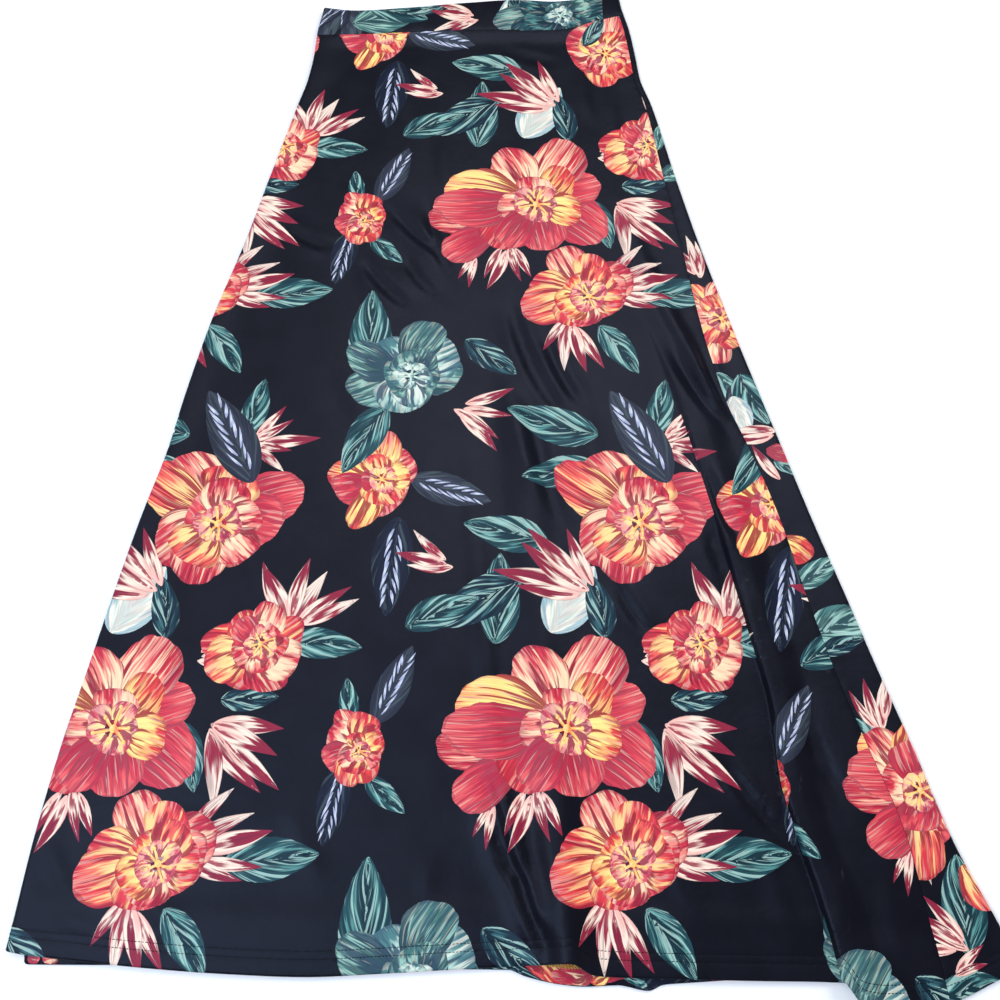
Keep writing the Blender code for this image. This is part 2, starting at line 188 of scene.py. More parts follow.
def steep_ridge(rows, across, drop):
    """Height of a fold with a steep left flank, a round top and a long right flank."""
    t = (across - curve(rows, "across", drop)) / curve(rows, "half_width", drop)
    flank = np.where(t < 0, ease((1 + t) / 0.42), ease((1 - t / 2.1) / 0.80))
    return curve(rows, "height", drop) * (1 - 0.25 * np.clip(-t, 0, 1) ** 2) * flank


def swell(across, drop):
    """Height of the broad swells together."""
    total = np.zeros_like(across)
    for a, d, half_a, half_d, height in zip(*SWELLS.values()):
        total = total + height * np.exp(-((across - a) / half_a) ** 2 - ((drop - d) / half_d) ** 2)
    return total


def each_crease():
    """Each crease's start, its run both ways and in all, its height and its half width."""
    for x0, y0, x1, y1, height, half in zip(*CREASES.values()):
        yield x0, y0, x1 - x0, y1 - y0, hypot(x1 - x0, y1 - y0), height, half


def creases(across, drop):
    """Height of the small creases together: each fades to nothing at its ends and sides."""
    total = np.zeros_like(across)
    for x0, y0, dx, dy, length, height, half in each_crease():
        ux, uy = dx / length, dy / length
        along = ((across - x0) * ux + (drop - y0) * uy) / length
        bow = BOW * length * np.sin(pi * np.clip(along, 0, 1))
        aside = (-(across - x0) * uy + (drop - y0) * ux - bow) / half
        profile = np.exp(-aside ** 2)
        if height < 0:
            profile = TROUGH * profile - SHOULDER * np.exp(-(aside / SHOULDER_WIDTH) ** 2)
        total = total + height * profile * ease(along / 0.4) * ease((1 - along) / 0.4)
    return total


def upper_height(across, drop, to_hem, to_waist):
    """Outer face of the upper layer: its height and its sideways lean.

    The folds fade out at the waist, and the level rises to the hem, the waistband and the sides.
    """
    from_side = np.minimum(across - curve(OUTLINE, "left", drop), curve(OUTLINE, "right", drop) - across)
    inner = ease(from_side / (3 * EDGE_REACH))
    pleat = steep_ridge(PLEAT, across, drop)
    folds = soft_ridge(HEM_HUMP, across, drop) + soft_ridge(SEAM_RIDGE, across, drop) + pleat
    folds = folds + soft_ridge(DRAPE, across, drop) + inner * swell(across, drop)
    folds = np.maximum(folds + ease(from_side / 0.012) * creases(across, drop), 0.0)
    folds = folds * ease(to_waist / 0.05)
    level = SKIRT_TOP + (HEM_TOP - SKIRT_TOP) * ease((HEM_RISE - to_hem) / 0.022)
    level = level + (BAND_TOP - SKIRT_TOP) * ease(1 - to_waist / 0.02)
    side_rise = np.maximum(EDGE_TOP - level, 0) * np.exp(-((from_side / EDGE_REACH) ** 2))
    gathers = GATHERS * np.sin(across * 780 + 2.1 * np.sin(across * 95)) * np.exp(-to_waist / 0.012)
    rows = sum(np.exp(-(((to_hem - up) / 0.0009) ** 2)) for up in STITCH_ROWS)
    aside = np.abs(across - curve(OUTLINE, "seam", drop))
    puckers = np.sin(drop * 540 + 2 * np.sin(drop * 63)) * np.exp(-((aside - 0.004) / 0.003) ** 2)
    seams = SEAM_DIP * np.exp(-((aside / 0.0020) ** 2)) - PUCKERS * puckers
    return level + side_rise + folds + gathers - STITCH_DIP * rows - seams, PLEAT_LEAN * pleat


def wall_at(to_hem):
    """Wall thickness, which steps up where the hem is turned."""
    return WALL + (HEM_WALL - WALL) * ease((HEM_DEPTH + 0.002 - to_hem) / 0.002)


# ------------------------------------------------
# Cloth surfaces.  A point of a panel is (s, drop), where s is measured along the cloth's section:
# it equals "across" on top, and goes on round the side and along the underside.

def distances(across, drop):
    """How far upper-layer points are from the hem and from the waist seam."""
    return curve(TOP_HEM, "drop", across) - drop, np.maximum(drop - curve(WAIST, "seam", across), 0.0)


def side_turn(side):
    """The radius of the turn at a side, at each of SIDE_DROPS."""
    across = curve(OUTLINE, side, SIDE_DROPS) + (0.003 if side == "left" else -0.003)
    return upper_height(across, SIDE_DROPS, *distances(across, SIDE_DROPS))[0] / 2


SIDE_DROPS = np.linspace(-0.06, 1.01, 215)
TURN = {side: side_turn(side) for side in ("left", "right")}


def side_radius(side, drop):
    return np.interp(drop, SIDE_DROPS, TURN[side])


def section(s, drop, side):
    """Where s lies at a level: across, share of the height, and the turn's radius and angle.

    The share is 1 on top and 0 underneath.
    """
    sign = 1.0 if side == "left" else -1.0
    radius = side_radius(side, drop)
    start = curve(OUTLINE, side, drop) + sign * radius
    past = sign * (start - s)
    angle = np.clip(past / radius, 0.0, pi)
    beyond = np.maximum(past - pi * radius, 0.0)
    across = np.where(past <= 0, s, start - sign * radius * np.sin(angle) + sign * beyond)
    return across, (1 + np.cos(angle)) / 2, radius, angle


def outer_face(s, drop, side):
    """A panel's outer face as (across, -drop, height) points."""
    across, share, radius, angle = section(s, drop, side)
    height, lean = upper_height(across, drop, *distances(across, drop))
    on_top = angle <= 0
    z = np.where(on_top, height, share * 2 * radius)
    return columns(across + np.where(on_top, lean, 0.0), -drop, z)


def hem_at(s, side):
    """Drop of the hem's edge, which passes from the upper line to the lower one round a side."""
    across, share, *_ = section(s, np.full_like(s, 0.965), side)
    low, high = curve(UNDER_HEM, "drop", across), curve(TOP_HEM, "drop", across)
    return low + (high - low) * share


def waist_at(s, side):
    across, *_ = section(s, np.zeros_like(s), side)
    return curve(WAIST, "seam", across) + SEAM_GAP


def face_normals(s, drop, face, e=0.0003):
    """Outward unit normals of a face, by small steps along and across it."""
    ds = face(s + e, drop) - face(s - e, drop)
    dd = face(s, drop + e) - face(s, drop - e)
    n = np.cross(dd, ds)
    return n / np.maximum(np.linalg.norm(n, axis=1), 1e-12)[:, None]


# ------------------------------------------------
# The print: ordinary flowers and leaves, each drawn by formula.

def rgb(*color):
    """An sRGB colour of 0 to 255 as linear light."""
    return tuple((c / 255 / 12.92) if c < 11 else ((c / 255 + 0.055) / 1.055) ** 2.4 for c in color)


GROUND = rgb(17, 17, 25)
WRONG_SIDE = rgb(44, 46, 56)     # the jersey's inner face
# Colours of a stroke from its root, through its middle, to its tip, and how far the brush strays
PAINTS = {name: (rgb(*root), rgb(*middle), rgb(*tip), stray) for name, root, middle, tip, stray in (
    ("coral", (248, 200, 132), (226, 96, 82), (208, 56, 66), 0.85),
    ("flame", (250, 214, 130), (242, 170, 104), (212, 64, 62), 0.95),
    ("rose", (172, 40, 62), (204, 62, 74), (222, 92, 92), 0.80),
    ("stripe", (246, 208, 168), (230, 130, 116), (196, 50, 66), 1.00),
    ("blush", (250, 206, 140), (236, 158, 142), (206, 82, 94), 0.70),
    ("eye", (248, 204, 118), (246, 192, 106), (228, 138, 84), 0.30),
    ("stamen", (236, 150, 80), (248, 202, 116), (250, 212, 132), 0.30),
    ("heart", (96, 22, 44), (140, 34, 54), (190, 56, 70), 0.50),
    ("spear", (230, 178, 164), (238, 214, 194), (142, 36, 58), 0.80),
    ("lance", (234, 202, 184), (150, 40, 60), (238, 216, 198), 0.75),
    ("leaf", (22, 48, 56), (82, 134, 130), (34, 72, 78), 0.90),
    ("deep", (18, 34, 46), (54, 96, 102), (26, 48, 60), 0.90),
    ("slate", (44, 48, 60), (52, 56, 70), (36, 40, 52), 0.10),
    ("chalk", (150, 156, 184), (196, 200, 214), (164, 170, 192), 0.10),
    ("night", (24, 28, 44), (28, 34, 52), (20, 24, 40), 0.10),
    ("pale", (200, 196, 186), (238, 224, 206), (140, 166, 174), 0.60),
    ("mist", (42, 72, 76), (140, 180, 166), (70, 114, 110), 0.95),
    ("foam", (208, 216, 200), (162, 194, 182), (76, 122, 122), 0.60),
)}


def half_profile(form, u):
    """A stroke's half width along its length, as a share of the widest."""
    u = np.clip(u, 0.0, 1.0)
    if form in ("petal", "fan"):
        fan = 0.22 + 0.78 * np.sin(pi * np.minimum(u, 0.62) / 1.24) ** 0.9
        return fan * np.sqrt(1 - u ** 5) if form == "petal" else fan
    if form == "spear":
        return np.sin(pi * u ** 0.85) ** 0.9 * (1 - 0.25 * u) + 0.05 * (1 - u)
    if form in ("bar", "disc"):
        return np.sqrt(np.clip(1 - (2 * u - 1) ** (4 if form == "bar" else 2), 0, 1))
    return np.sin(pi * u ** 0.80) ** 0.75


def turned(x, y, angle):
    """A point turned about the origin."""
    c, s = cos(angle), sin(angle)
    return x * c - y * s, x * s + y * c


class Stroke:
    """One painted shape: a petal, leaf or mark, on its own axis from root to tip."""

    def __init__(self, paint, form, x, y, turn, length, half, bend=0.0, frill=0.0, seed=0.0):
        self.paint, self.form, self.x, self.y = paint, form, x, y
        self.turn, self.length, self.half, self.bend = turn, length, half, bend
        self.frill, self.seed = frill, seed

    def outline(self):
        count = max(6, min(24, int(self.length / (0.0022 if self.form == "petal" else 0.0036))))
        u = 0.5 - 0.5 * np.cos(np.linspace(0, pi, count))
        side = half_profile(self.form, u) * self.half
        us, ys = np.concatenate([u, u[::-1][1:-1]]), np.concatenate([side, -side[::-1][1:-1]])
        if self.frill:      # soft waves and small scallops, measured round a point inside
            angle = np.arctan2(ys / self.half, 2.2 * (us - 0.45))
            waves = 0.6 * np.sin(2.3 * angle + 9 * self.seed) + 0.4 * np.sin(4.1 * angle + 5 * self.seed)
            scallops = np.abs(np.sin(max(2, self.length / 0.011) * angle + 7 * self.seed)) ** 0.6 - 0.6
            grown = 1 + self.frill * (waves + 0.6 * scallops) * ease((us - 0.2) / 0.3)
            us, ys = 0.45 + (us - 0.45) * grown, ys * grown
        return self.place(us * self.length, ys)

    def place(self, xs, ys):
        """Points given along and beside the stroke's axis."""
        ys = ys + self.bend * self.length * (xs / self.length) ** 2
        c, s = cos(self.turn), sin(self.turn)
        return columns(self.x + xs * c - ys * s, self.y + xs * s + ys * c)

    def point(self, x, y=0.0):
        return self.place(np.array([x]), np.array([y]))[0]

    def midrib(self):
        """A leaf's middle line, and nothing for other forms."""
        xs = np.linspace(0.06, 0.94, 6 if self.form == "leaf" else 0) * self.length
        return self.place(xs, np.zeros_like(xs))

    def local(self, points):
        """Of points: along the stroke, across its brush marks from -1 to 1, and out towards its rim."""
        c, s = cos(self.turn), sin(self.turn)
        dx, dy = points[:, 0] - self.x, points[:, 1] - self.y
        u = (dx * c + dy * s) / self.length
        across = (-dx * s + dy * c - self.bend * self.length * u * u) / self.half
        full = np.maximum(half_profile(self.form, u), 0.12)
        fan = half_profile("fan", u) if self.form == "petal" else full
        return u, across / fan, np.abs(across) / full

    def moved(self, angle, shift):
        """The same stroke, turned about the print's origin and shifted."""
        other, (x, y) = copy.copy(self), turned(self.x, self.y, angle)
        other.x, other.y, other.turn = x + shift[0], y + shift[1], self.turn + angle
        return other


# The motifs.  Each takes a place, size and turn, and then what is its own.

def ring(rng, paints, x, y, count, reach, half, turn, wide, root=0.12):
    """Petals all round a point, uneven in size.  wide stretches the ring along its own turn."""
    strokes = []
    order = list(range(count))
    rng.shuffle(order)
    for i in order:
        a = 2 * pi * (i + rng.uniform(-0.22, 0.22)) / count
        stretch = hypot(wide * cos(a), sin(a))
        at = turn + atan2(sin(a), wide * cos(a))
        length = reach * stretch * rng.uniform(0.72, 1.08)
        strokes.append(Stroke(rng.choice(paints), "petal", x + root * length * cos(at),
                              y + root * length * sin(at), at, length * (1 - root),
                              half * rng.uniform(0.84, 1.20), rng.uniform(-0.20, 0.20), 0.085, rng.random()))
    return strokes


def disc(rng, paint, x, y, radius):
    return Stroke(paint, "disc", x - radius, y, 0.0, 2 * radius, radius, seed=rng.random())


def blossom(rng, x, y, size, turn, wide=1.25, cool=()):
    """An open flower: ruffled outer petals, then a cup to one side of the middle, with stamens.

    cool gives the petals' paints of a teal one.
    """
    paints = cool or ("coral", "flame", "stripe", "stripe", "coral", "rose")
    inner, heart, mark, eye = (
        ("foam", "deep", "foam", "foam") if cool else ("blush", "heart", "stamen", "eye"))
    strokes = ring(rng, paints, x, y, 8, size * 0.98, size * 0.44, turn, wide)
    cx, cy = x + 0.16 * size * cos(turn - 1.2), y + 0.16 * size * sin(turn - 1.2)
    strokes += ring(rng, paints, cx, cy, 5, size * 0.60, size * 0.34, turn + 0.4, wide)
    strokes += ring(rng, (inner,), cx, cy, 6, size * 0.34, size * 0.18, turn, 1.2)
    strokes.append(disc(rng, heart, cx, cy, size * 0.12))
    for k in range(6):
        a = turn + 1.05 * k + rng.uniform(-0.25, 0.25)
        reach, bend = size * rng.uniform(0.16, 0.30), rng.uniform(-0.3, 0.3)
        stamen = Stroke(mark, "bar", cx, cy, a, reach, size * 0.020, bend, 0.0, rng.random())
        strokes += [stamen, disc(rng, eye, *stamen.point(reach), size * 0.028)]
    return strokes + [disc(rng, eye, cx, cy, size * 0.055)]


def spears(rng, x, y, size, turn, count=5, spread=1.7):
    """A fan of pointed two-tone petals from one root."""
    strokes = []
    for k in rng.sample(range(count), count):
        a = turn + spread * ((k + 0.5) / count - 0.5) + rng.uniform(-0.07, 0.07)
        length = size * (1 - 0.40 * abs((k + 0.5) / count - 0.5)) * rng.uniform(0.66, 0.90)
        start = size * rng.uniform(0.04, 0.26)
        strokes.append(Stroke(rng.choice(("spear", "spear", "lance")), "spear", x + start * cos(a),
                              y + start * sin(a), a, length, length * rng.uniform(0.115, 0.150),
                              rng.uniform(-0.20, 0.20), 0.0, rng.random()))
    return strokes


def lobe(rng, x, y, size, turn, paint="coral", broad=0.40):
    """One broad petal by itself."""
    bend = rng.uniform(-0.1, 0.1)
    return [Stroke(paint, "petal", x, y, turn, size, size * broad, bend, 0.08, rng.random())]


def leaf(rng, x, y, size, turn, paint="leaf", slim=0.22):
    """One broad leaf, from its stalk end."""
    bend = rng.uniform(-0.14, 0.14)
    return [Stroke(paint, "leaf", x, y, turn, size, size * slim, bend, 0.03, rng.random())]


def feather(rng, x, y, size, turn, ground="slate"):
    """A dark leaf with fine pale brush marks that sweep out from its midrib."""
    body = Stroke(ground, "leaf", x, y, turn, size, size * 0.20, 0.05, 0.0, rng.random())
    strokes = [body]
    for k in range(13):
        u = 0.12 + 0.056 * k
        side = 1 if k % 2 else -1
        start = body.point(u * size, side * 0.022 * size)
        reach = size * (0.25 - 0.22 * abs(u - 0.42)) * rng.uniform(0.75, 1.1)
        strokes.append(Stroke("chalk", "spear", *start, turn + 0.08 + side * rng.uniform(0.34, 0.52),
                              reach, size * rng.uniform(0.012, 0.018), -side * 0.14, 0.0, rng.random()))
    return strokes


# Rows of motifs: kind, across, up and size in millimetres, turn in degrees, and then the kind's own:
# a leaf's paint and slimness, a lobe's paint and breadth, a feather's ground, how many spears and
# how far they spread, or how wide a blossom is and its cool paints.

# One repeat of the print
REPEAT_ACROSS, REPEAT_UP = (0.395, 0.0), (-0.020, 0.545)
MOTIFS = [
    (leaf, -5, 190, 85, 80), (leaf, 20, 250, 90, 205, "deep"), (leaf, 45, 200, 75, 60, "pale", 0.30),
    (leaf, 95, 195, 60, 95, "deep"), (leaf, 45, 285, 80, 165), (spears, 90, 235, 105, 150, 5, 1.3),
    (spears, 120, 175, 55, 20, 3, 1.2), (leaf, 120, 120, 60, 285), (leaf, 150, 140, 50, 0, "deep"),
    (spears, 140, 120, 92, 322, 5, 1.5), (spears, 30, 75, 70, 262, 4, 1.3),
    (spears, -2, 58, 46, 240, 2, 0.7), (lobe, 14, 101, 68, 186, "stripe", 0.30),
    (lobe, 14, 88, 62, 216, "rose", 0.34), (blossom, 52, 124, 67, 15, 1.5), (leaf, 205, 190, 65, 5),
    (spears, 205, 200, 84, 76, 6, 1.9), (blossom, 175, 185, 46, 110, 1.1), (leaf, 165, 5, 80, 5),
    (leaf, 120, -30, 65, 310), (spears, 125, 12, 84, 12, 5, 1.9), (spears, 92, -18, 70, 262, 4, 1.5),
    (blossom, 104, 10, 53, 30, 1.2), (leaf, 95, 395, 90, 170), (leaf, 95, 360, 75, 185),
    (leaf, 150, 395, 60, 75), (spears, 150, 385, 65, 5, 5, 1.6), (blossom, 130, 315, 68, -15),
    (feather, 160, 345, 110, 115), (leaf, -130, 120, 40, 100), (feather, -110, 120, 75, 62),
    (feather, -135, 85, 68, 255, "night"), (leaf, -115, 75, 45, 315), (blossom, -125, 100, 32, 20, 1.1),
    (feather, -85, 350, 80, 340), (feather, -95, 310, 95, 262, "night"), (leaf, -85, 205, 70, 30),
    (spears, -40, 262, 70, 165, 3, 1.0), (blossom, -119, 348, 43, 75, 1.15),
    (leaf, -125, 455, 100, 100), (leaf, -110, 425, 80, 235), (leaf, -35, 500, 65, 320, "deep"),
    (spears, -50, 425, 70, 345, 4, 1.1), (blossom, -95, 465, 56, 30, 1.1, ("mist", "foam", "mist")),
]

# The part of the back that shows beside the top seam, as it lies
STRIP_MOTIFS = [
    (leaf, 170, 728, 36, 80, "mist"), (leaf, 172, 692, 34, 35, "mist", 0.3),
    (spears, 206, 566, 62, 100, 3, 0.8), (leaf, 214, 462, 50, 300, "mist"),
    (leaf, 228, 448, 50, 282, "slate"), (leaf, 236, 460, 60, 290, "leaf", 0.28),
    (leaf, 228, 436, 42, 285, "pale", 0.30), (blossom, 217, 522, 44, 75), (leaf, 262, 368, 34, 330),
    (lobe, 256, 378, 26, 350, "rose"), (spears, 278, 398, 56, 184, 2, 0.6),
    (spears, 272, 342, 50, 128, 1, 0.5), (lobe, 262, 290, 32, 322, "flame", 0.45),
    (leaf, 270, 244, 52, 30, "mist"), (spears, 268, 242, 26, 312, 1),
    (leaf, 280, 196, 62, 26, "mist", 0.32), (leaf, 288, 182, 40, 25, "deep"),
    (leaf, 328, 96, 36, 130, "leaf", 0.30), (spears, 334, 108, 66, 104, 4, 1.1),
    (leaf, 379, -64, 76, 86, "leaf", 0.24), (lobe, 384, 4, 40, 300), (leaf, 350, -96, 56, 12, "leaf", 0.26),
    (spears, 362, -82, 48, 36, 2, 0.5), (spears, 382, -62, 60, 150, 4, 1.3),
    (spears, 344, 24, 34, 296, 1, 0.4), (blossom, 350, 62, 54, 80),
]

# The waistband's, with their height over the waist seam
BAND_MOTIFS = [
    (leaf, -178, 40, 70, 268, "slate", 0.34), (feather, -187, -6, 68, 84),
    (leaf, -168, 8, 90, 14, "mist", 0.24), (leaf, -150, 32, 70, 350), (leaf, -60, 40, 50, 200, "deep"),
    (spears, -20, 16, 62, 172, 5, 1.2), (leaf, 0, 10, 52, 66, "pale", 0.16),
    (leaf, 30, 4, 60, 110, "deep"), (leaf, 95, 40, 70, 335),
    (blossom, 66, 26, 46, 10, 1.5, ("mist", "leaf", "mist")),
]
ROUND_THE_BAND = 0.6912          # from the front's left seam to the same seam, all the way round the band

# A smaller flower at the waist's right end, in place of the repeat's at REPLACED
WAIST_MOTIFS = [(blossom, 119, 860, 50, -15, 1.2), (leaf, 94, 864, 44, 52, "deep")]
REPLACED = 0.110, 0.860

# The print that shows on the back hem's turned-up edge, with its drop in place of its height,
# and a petal at the front hem's left end
PEEKING = [
    (leaf, 166, 990, 70, 0, "night", 0.24), (leaf, -30, 984, 60, 170, "deep"), (leaf, 108, 996, 20, 0),
    (lobe, 92, 995.5, 24, 6, "rose", 0.24), (lobe, 82, 995, 20, 8, "flame", 0.34),
    (lobe, 68, 995.5, 24, 4, "rose", 0.30), (lobe, 62, 994.5, 20, 10, "stripe", 0.26),
    (lobe, 53, 994, 18, 6, "rose", 0.30), (lobe, -346, 976.5, 22.5, 2, "rose", 0.26),
    (lobe, -356, 975.5, 13, 4, "stripe", 0.30),
]
PEEKING_LEFT = [(lobe, -423.2, -76.5, 10.8, 180, "rose", 0.44)]


def groups(motifs, seed, place=lambda x, y: (x, y)):
    """Each motif's middle, its size and its strokes.  place gives a row's place in the print."""
    rng, made = random.Random(seed), []
    for kind, across, up, size, turn, *own in motifs:
        x, y, size = (round(10 * value) / 10000 for value in (across, up, size))
        x, y = place(x, y)
        made.append(((x, y), size, kind(rng, x, y, size, radians(turn), *own)))
    return made


def strokes_of(*args):
    """The strokes of groups, in one list."""
    return [stroke for _, _, strokes in groups(*args) for stroke in strokes]


def lay_print(low, high, turn=0.0, wanted=lambda x, y, size: True):
    """Every stroke of the repeated print, turned about its origin, that reaches a box."""
    strokes, cell = [], groups(MOTIFS, 20)
    for j in range(-4, 5):
        for i in range(-5, 6):
            shift = turned(*(i * a + j * b for a, b in zip(REPEAT_ACROSS, REPEAT_UP)), turn)
            for (x, y), size, motif in cell:
                x, y = turned(x, y, turn)
                if not wanted(x + shift[0], y + shift[1], size):
                    continue
                for stroke in motif:
                    new = stroke.moved(turn, shift)
                    reach = new.length * 1.3
                    if low[0] - reach < new.x < high[0] + reach and low[1] - reach < new.y < high[1] + reach:
                        strokes.append(new)
    return strokes


# ------------------------------------------------
# How the print lies on the cloth.  The pleat takes some of the front's up: beyond its crest the
# cloth has come left and down.  At the waist's right end the cloth is drawn up.

TUCK = table("drop left down", [
    (380, 0, 0), (515, 12, 13), (580, 27, 25), (650, 33, 30), (800, 47, 36), (1010, 47, 36),
])
TUCK_FROM = 0.37
PULL, PULL_FROM, PULL_ACROSS, PULL_DOWN = 0.015, -0.16, 0.25, 0.24


def pulled(s, drop):
    """How much higher the print lies at a point: most at the waist's right end, and nothing at its left."""
    return PULL * ease((s - PULL_FROM) / PULL_ACROSS) * ease(1 - drop / PULL_DOWN)


def tuck_line(drop):
    """Where the cloth goes out of sight under the pleat, at its left foot."""
    return curve(PLEAT, "across", drop) - 0.86 * curve(PLEAT, "half_width", drop)


def printed(s, drop, past=False):
    """Print coordinates of laid points, which lie before the tuck or past it."""
    left, down = curve(TUCK, "left", drop) * past, curve(TUCK, "down", drop) * past
    return columns(s + left, WAIST_AT - drop + down - pulled(s, drop))


def laid(points, past=False):
    """Laid (s, drop) of points of the print: the inverse of printed."""
    drop = level = WAIST_AT - points[:, 1]
    for _ in range(5):
        drop = level - pulled(points[:, 0], drop) + curve(TUCK, "down", drop) * past
    return columns(points[:, 0] - curve(TUCK, "left", drop) * past, drop)


def is_past(points, tucked):
    """Which laid points lie past the tuck."""
    return points[:, 0] > tuck_line(points[:, 1]) if tucked else np.zeros(len(points), dtype=bool)


def inside(points, outline):
    """Which points lie inside a closed outline, some thousands at a time."""
    (ax, ay), (bx, by) = outline.T, np.roll(outline, -1, axis=0).T
    found = []
    for part in np.array_split(points, 1 + len(points) // 4000):
        x, y = part[:, :1], part[:, 1:]
        at = ax + (y - ay) * (bx - ax) / np.where(by == ay, 1e-12, by - ay)
        found.append((((ay > y) != (by > y)) & (x < at)).sum(axis=1) % 2 == 1)
    return np.concatenate(found)


def extent(points):
    return points.min(axis=0), points.max(axis=0)


def placed(strokes, tucked):
    """Shapes on the cloth: a stroke, its outline, its midrib and its side of the tuck.

    A stroke that the tuck parts gives a shape on each side.
    """
    drawn = [part for stroke in strokes for part in (stroke.outline(), stroke.midrib())]
    cuts, found = np.cumsum([len(part) for part in drawn])[:-1], []
    for past in ((False, True) if tucked else (False,)):
        points = laid(np.concatenate(drawn), past)
        parts, here = np.split(points, cuts), np.split(is_past(points, tucked) == past, cuts)
        found += [(stroke, parts[2 * k], parts[2 * k + 1], past) for k, stroke in enumerate(strokes)
                  if here[2 * k].any()]
    return found


def uncovered(shapes):
    """For every shape, which points of its outline and midrib no later shape covers."""
    boxes = np.array([extent(outline) for _, outline, *_ in shapes]).reshape(-1, 4)
    sides = np.array([past for *_, past in shapes], dtype=bool)
    shown = []
    for k, (_, outline, rib, past) in enumerate(shapes):
        points, box, later = np.concatenate([outline, rib]), boxes[k], boxes[k + 1:]
        seen = np.ones(len(points), dtype=bool)
        meets = (later[:, :2] < box[2:]).all(axis=1) & (later[:, 2:] > box[:2]).all(axis=1)
        for j in np.nonzero(meets & (sides[k + 1:] == past))[0] + k + 1:
            left = np.nonzero(seen)[0]
            seen[left[inside(points[left], shapes[j][1])]] = False
            if not seen.any():
                break
        shown.append(seen)
    return shown


MERGE = 2e-5                     # points closer than this become one
NEAR_EDGE = 0.003                # triangles as near as this to the edge are tested one by one


def painted_mesh(edge, fill, shapes, keep, cut):
    """Triangles inside an edge that follow every painted outline, and each one's topmost stroke.

    cut is the line of the tuck: a stroke is painted only on its own side of it.
    """
    count = len(edge)
    points, joins = [edge, cut], [(i, (i + 1) % count) for i in range(count)]
    joins += [(count + i, count + i + 1) for i in range(len(cut) - 1)]
    count += len(cut)
    for (_, outline, rib, _), seen in zip(shapes, uncovered(shapes)):
        size = len(outline)
        pairs = [(i, (i + 1) % size) for i in range(size)]
        pairs += [(size + i, size + i + 1) for i in range(len(rib) - 1)]
        pairs = [(a, b) for a, b in pairs if seen[a] or seen[b]]
        used = sorted({end for pair in pairs for end in pair})
        number = {end: count + i for i, end in enumerate(used)}
        joins += [(number[a], number[b]) for a, b in pairs]
        points.append(np.concatenate([outline, rib])[used].reshape(-1, 2))
        count += len(used)
    points = np.concatenate(points + [fill])
    made = delaunay_2d_cdt([Vector(p) for p in points], joins, [], 0, MERGE, False)
    flat, faces = np.array([v[:] for v in made[0]]), np.array(made[2])
    middle = flat[faces].mean(axis=1)
    held = keep(*middle.T, NEAR_EDGE)
    unsure = np.nonzero(keep(*middle.T, -NEAR_EDGE) & ~held)[0]
    held[unsure] = inside(middle[unsure], edge)
    faces, middle = faces[held], middle[held]
    owner, past = np.full(len(faces), -1), is_past(middle, len(cut) > 0)
    for k, (_, outline, _, side) in enumerate(shapes):
        low, high = extent(outline)
        near = np.nonzero(((middle > low) & (middle < high)).all(axis=1) & (past == side))[0]
        if len(near):
            owner[near[inside(middle[near], outline)]] = k
    return flat, faces, owner, past


# What each corner of a triangle carries, and how many numbers it takes
CORNER_DATA = ("shade", 3), ("brush", 3), ("root", 4), ("middle", 4), ("tip", 4)


def plain_corners(count, color):
    """Corner data of cloth with no paint on it."""
    data = {name: np.zeros((count, width)) for name, width in CORNER_DATA}
    for name in ("root", "middle", "tip"):
        data[name][:, :3] = color
    return data


def paint_corners(place, owner, shapes, ground):
    """Each corner's colours and its place in its stroke."""
    data = plain_corners(len(place), ground)
    for k, (stroke, *_) in enumerate(shapes):
        mine = np.nonzero(owner == k)[0]
        if not len(mine):
            continue
        index = (mine[:, None] * 3 + np.arange(3)).ravel()
        u, v, aside = stroke.local(place[index])
        length = stroke.length / 0.05
        first, second, third, stray = PAINTS[stroke.paint]
        flag = {"petal": 1.0, "spear": 0.5}.get(stroke.form, 0.0) if stroke.paint != "chalk" else 0.0
        for name, color, extra in (("root", first, stray), ("middle", second, 1.0), ("tip", third, flag)):
            data[name][index] = (*color, extra)
        if stroke.form == "leaf":
            data["shade"][index] = columns(aside, aside, u)
            veins = (3.8 * u - 2.4 * aside) * length
            data["brush"][index] = columns(aside, veins, 37 * stroke.seed + (v > 0))
        else:
            close = 1.6 if flag == 0.5 else 3.4 * length
            early = 0.26 * (7.3 * stroke.seed % 1.0) if flag == 1.0 else 0.0
            data["shade"][index] = columns(u - early, aside, u)
            data["brush"][index] = columns(u, close * v, np.full_like(u, 37 * stroke.seed))
    return data


def edge_loop(faces):
    """The boundary of a triangle mesh as a list of its vertices, in order."""
    sides = np.concatenate([faces[:, [0, 1]], faces[:, [1, 2]], faces[:, [2, 0]]])
    both = {tuple(p) for p in sides.tolist()}
    after = {a: b for a, b in sorted(both) if (b, a) not in both}
    loops = []
    while after:
        first, at = next(iter(after.items()))
        loop = [first]
        del after[first]
        while at != first and at in after:
            loop.append(at)
            at = after.pop(at)
        loops.append(loop)
    return max(loops, key=len)


def wind(flat, faces, clockwise):
    """Turn every triangle the same way round."""
    sides = flat[faces]
    d1, d2 = sides[:, 1] - sides[:, 0], sides[:, 2] - sides[:, 0]
    against = (d1[:, 0] * d2[:, 1] - d1[:, 1] * d2[:, 0] > 0) == clockwise
    faces[against] = faces[against][:, ::-1]
    return faces


def add_object(name, data):
    made = bpy.data.objects.new(name, data)
    bpy.context.scene.collection.objects.link(made)
    return made


def new_mesh(name, points, faces, material):
    mesh = bpy.data.meshes.new(name)
    mesh.from_pydata(points, [], faces)
    mesh.materials.append(material)
    return mesh


def to_world(points):
    return (points + np.array([SHIFT_X, SHIFT_Y, 0.0])).tolist()


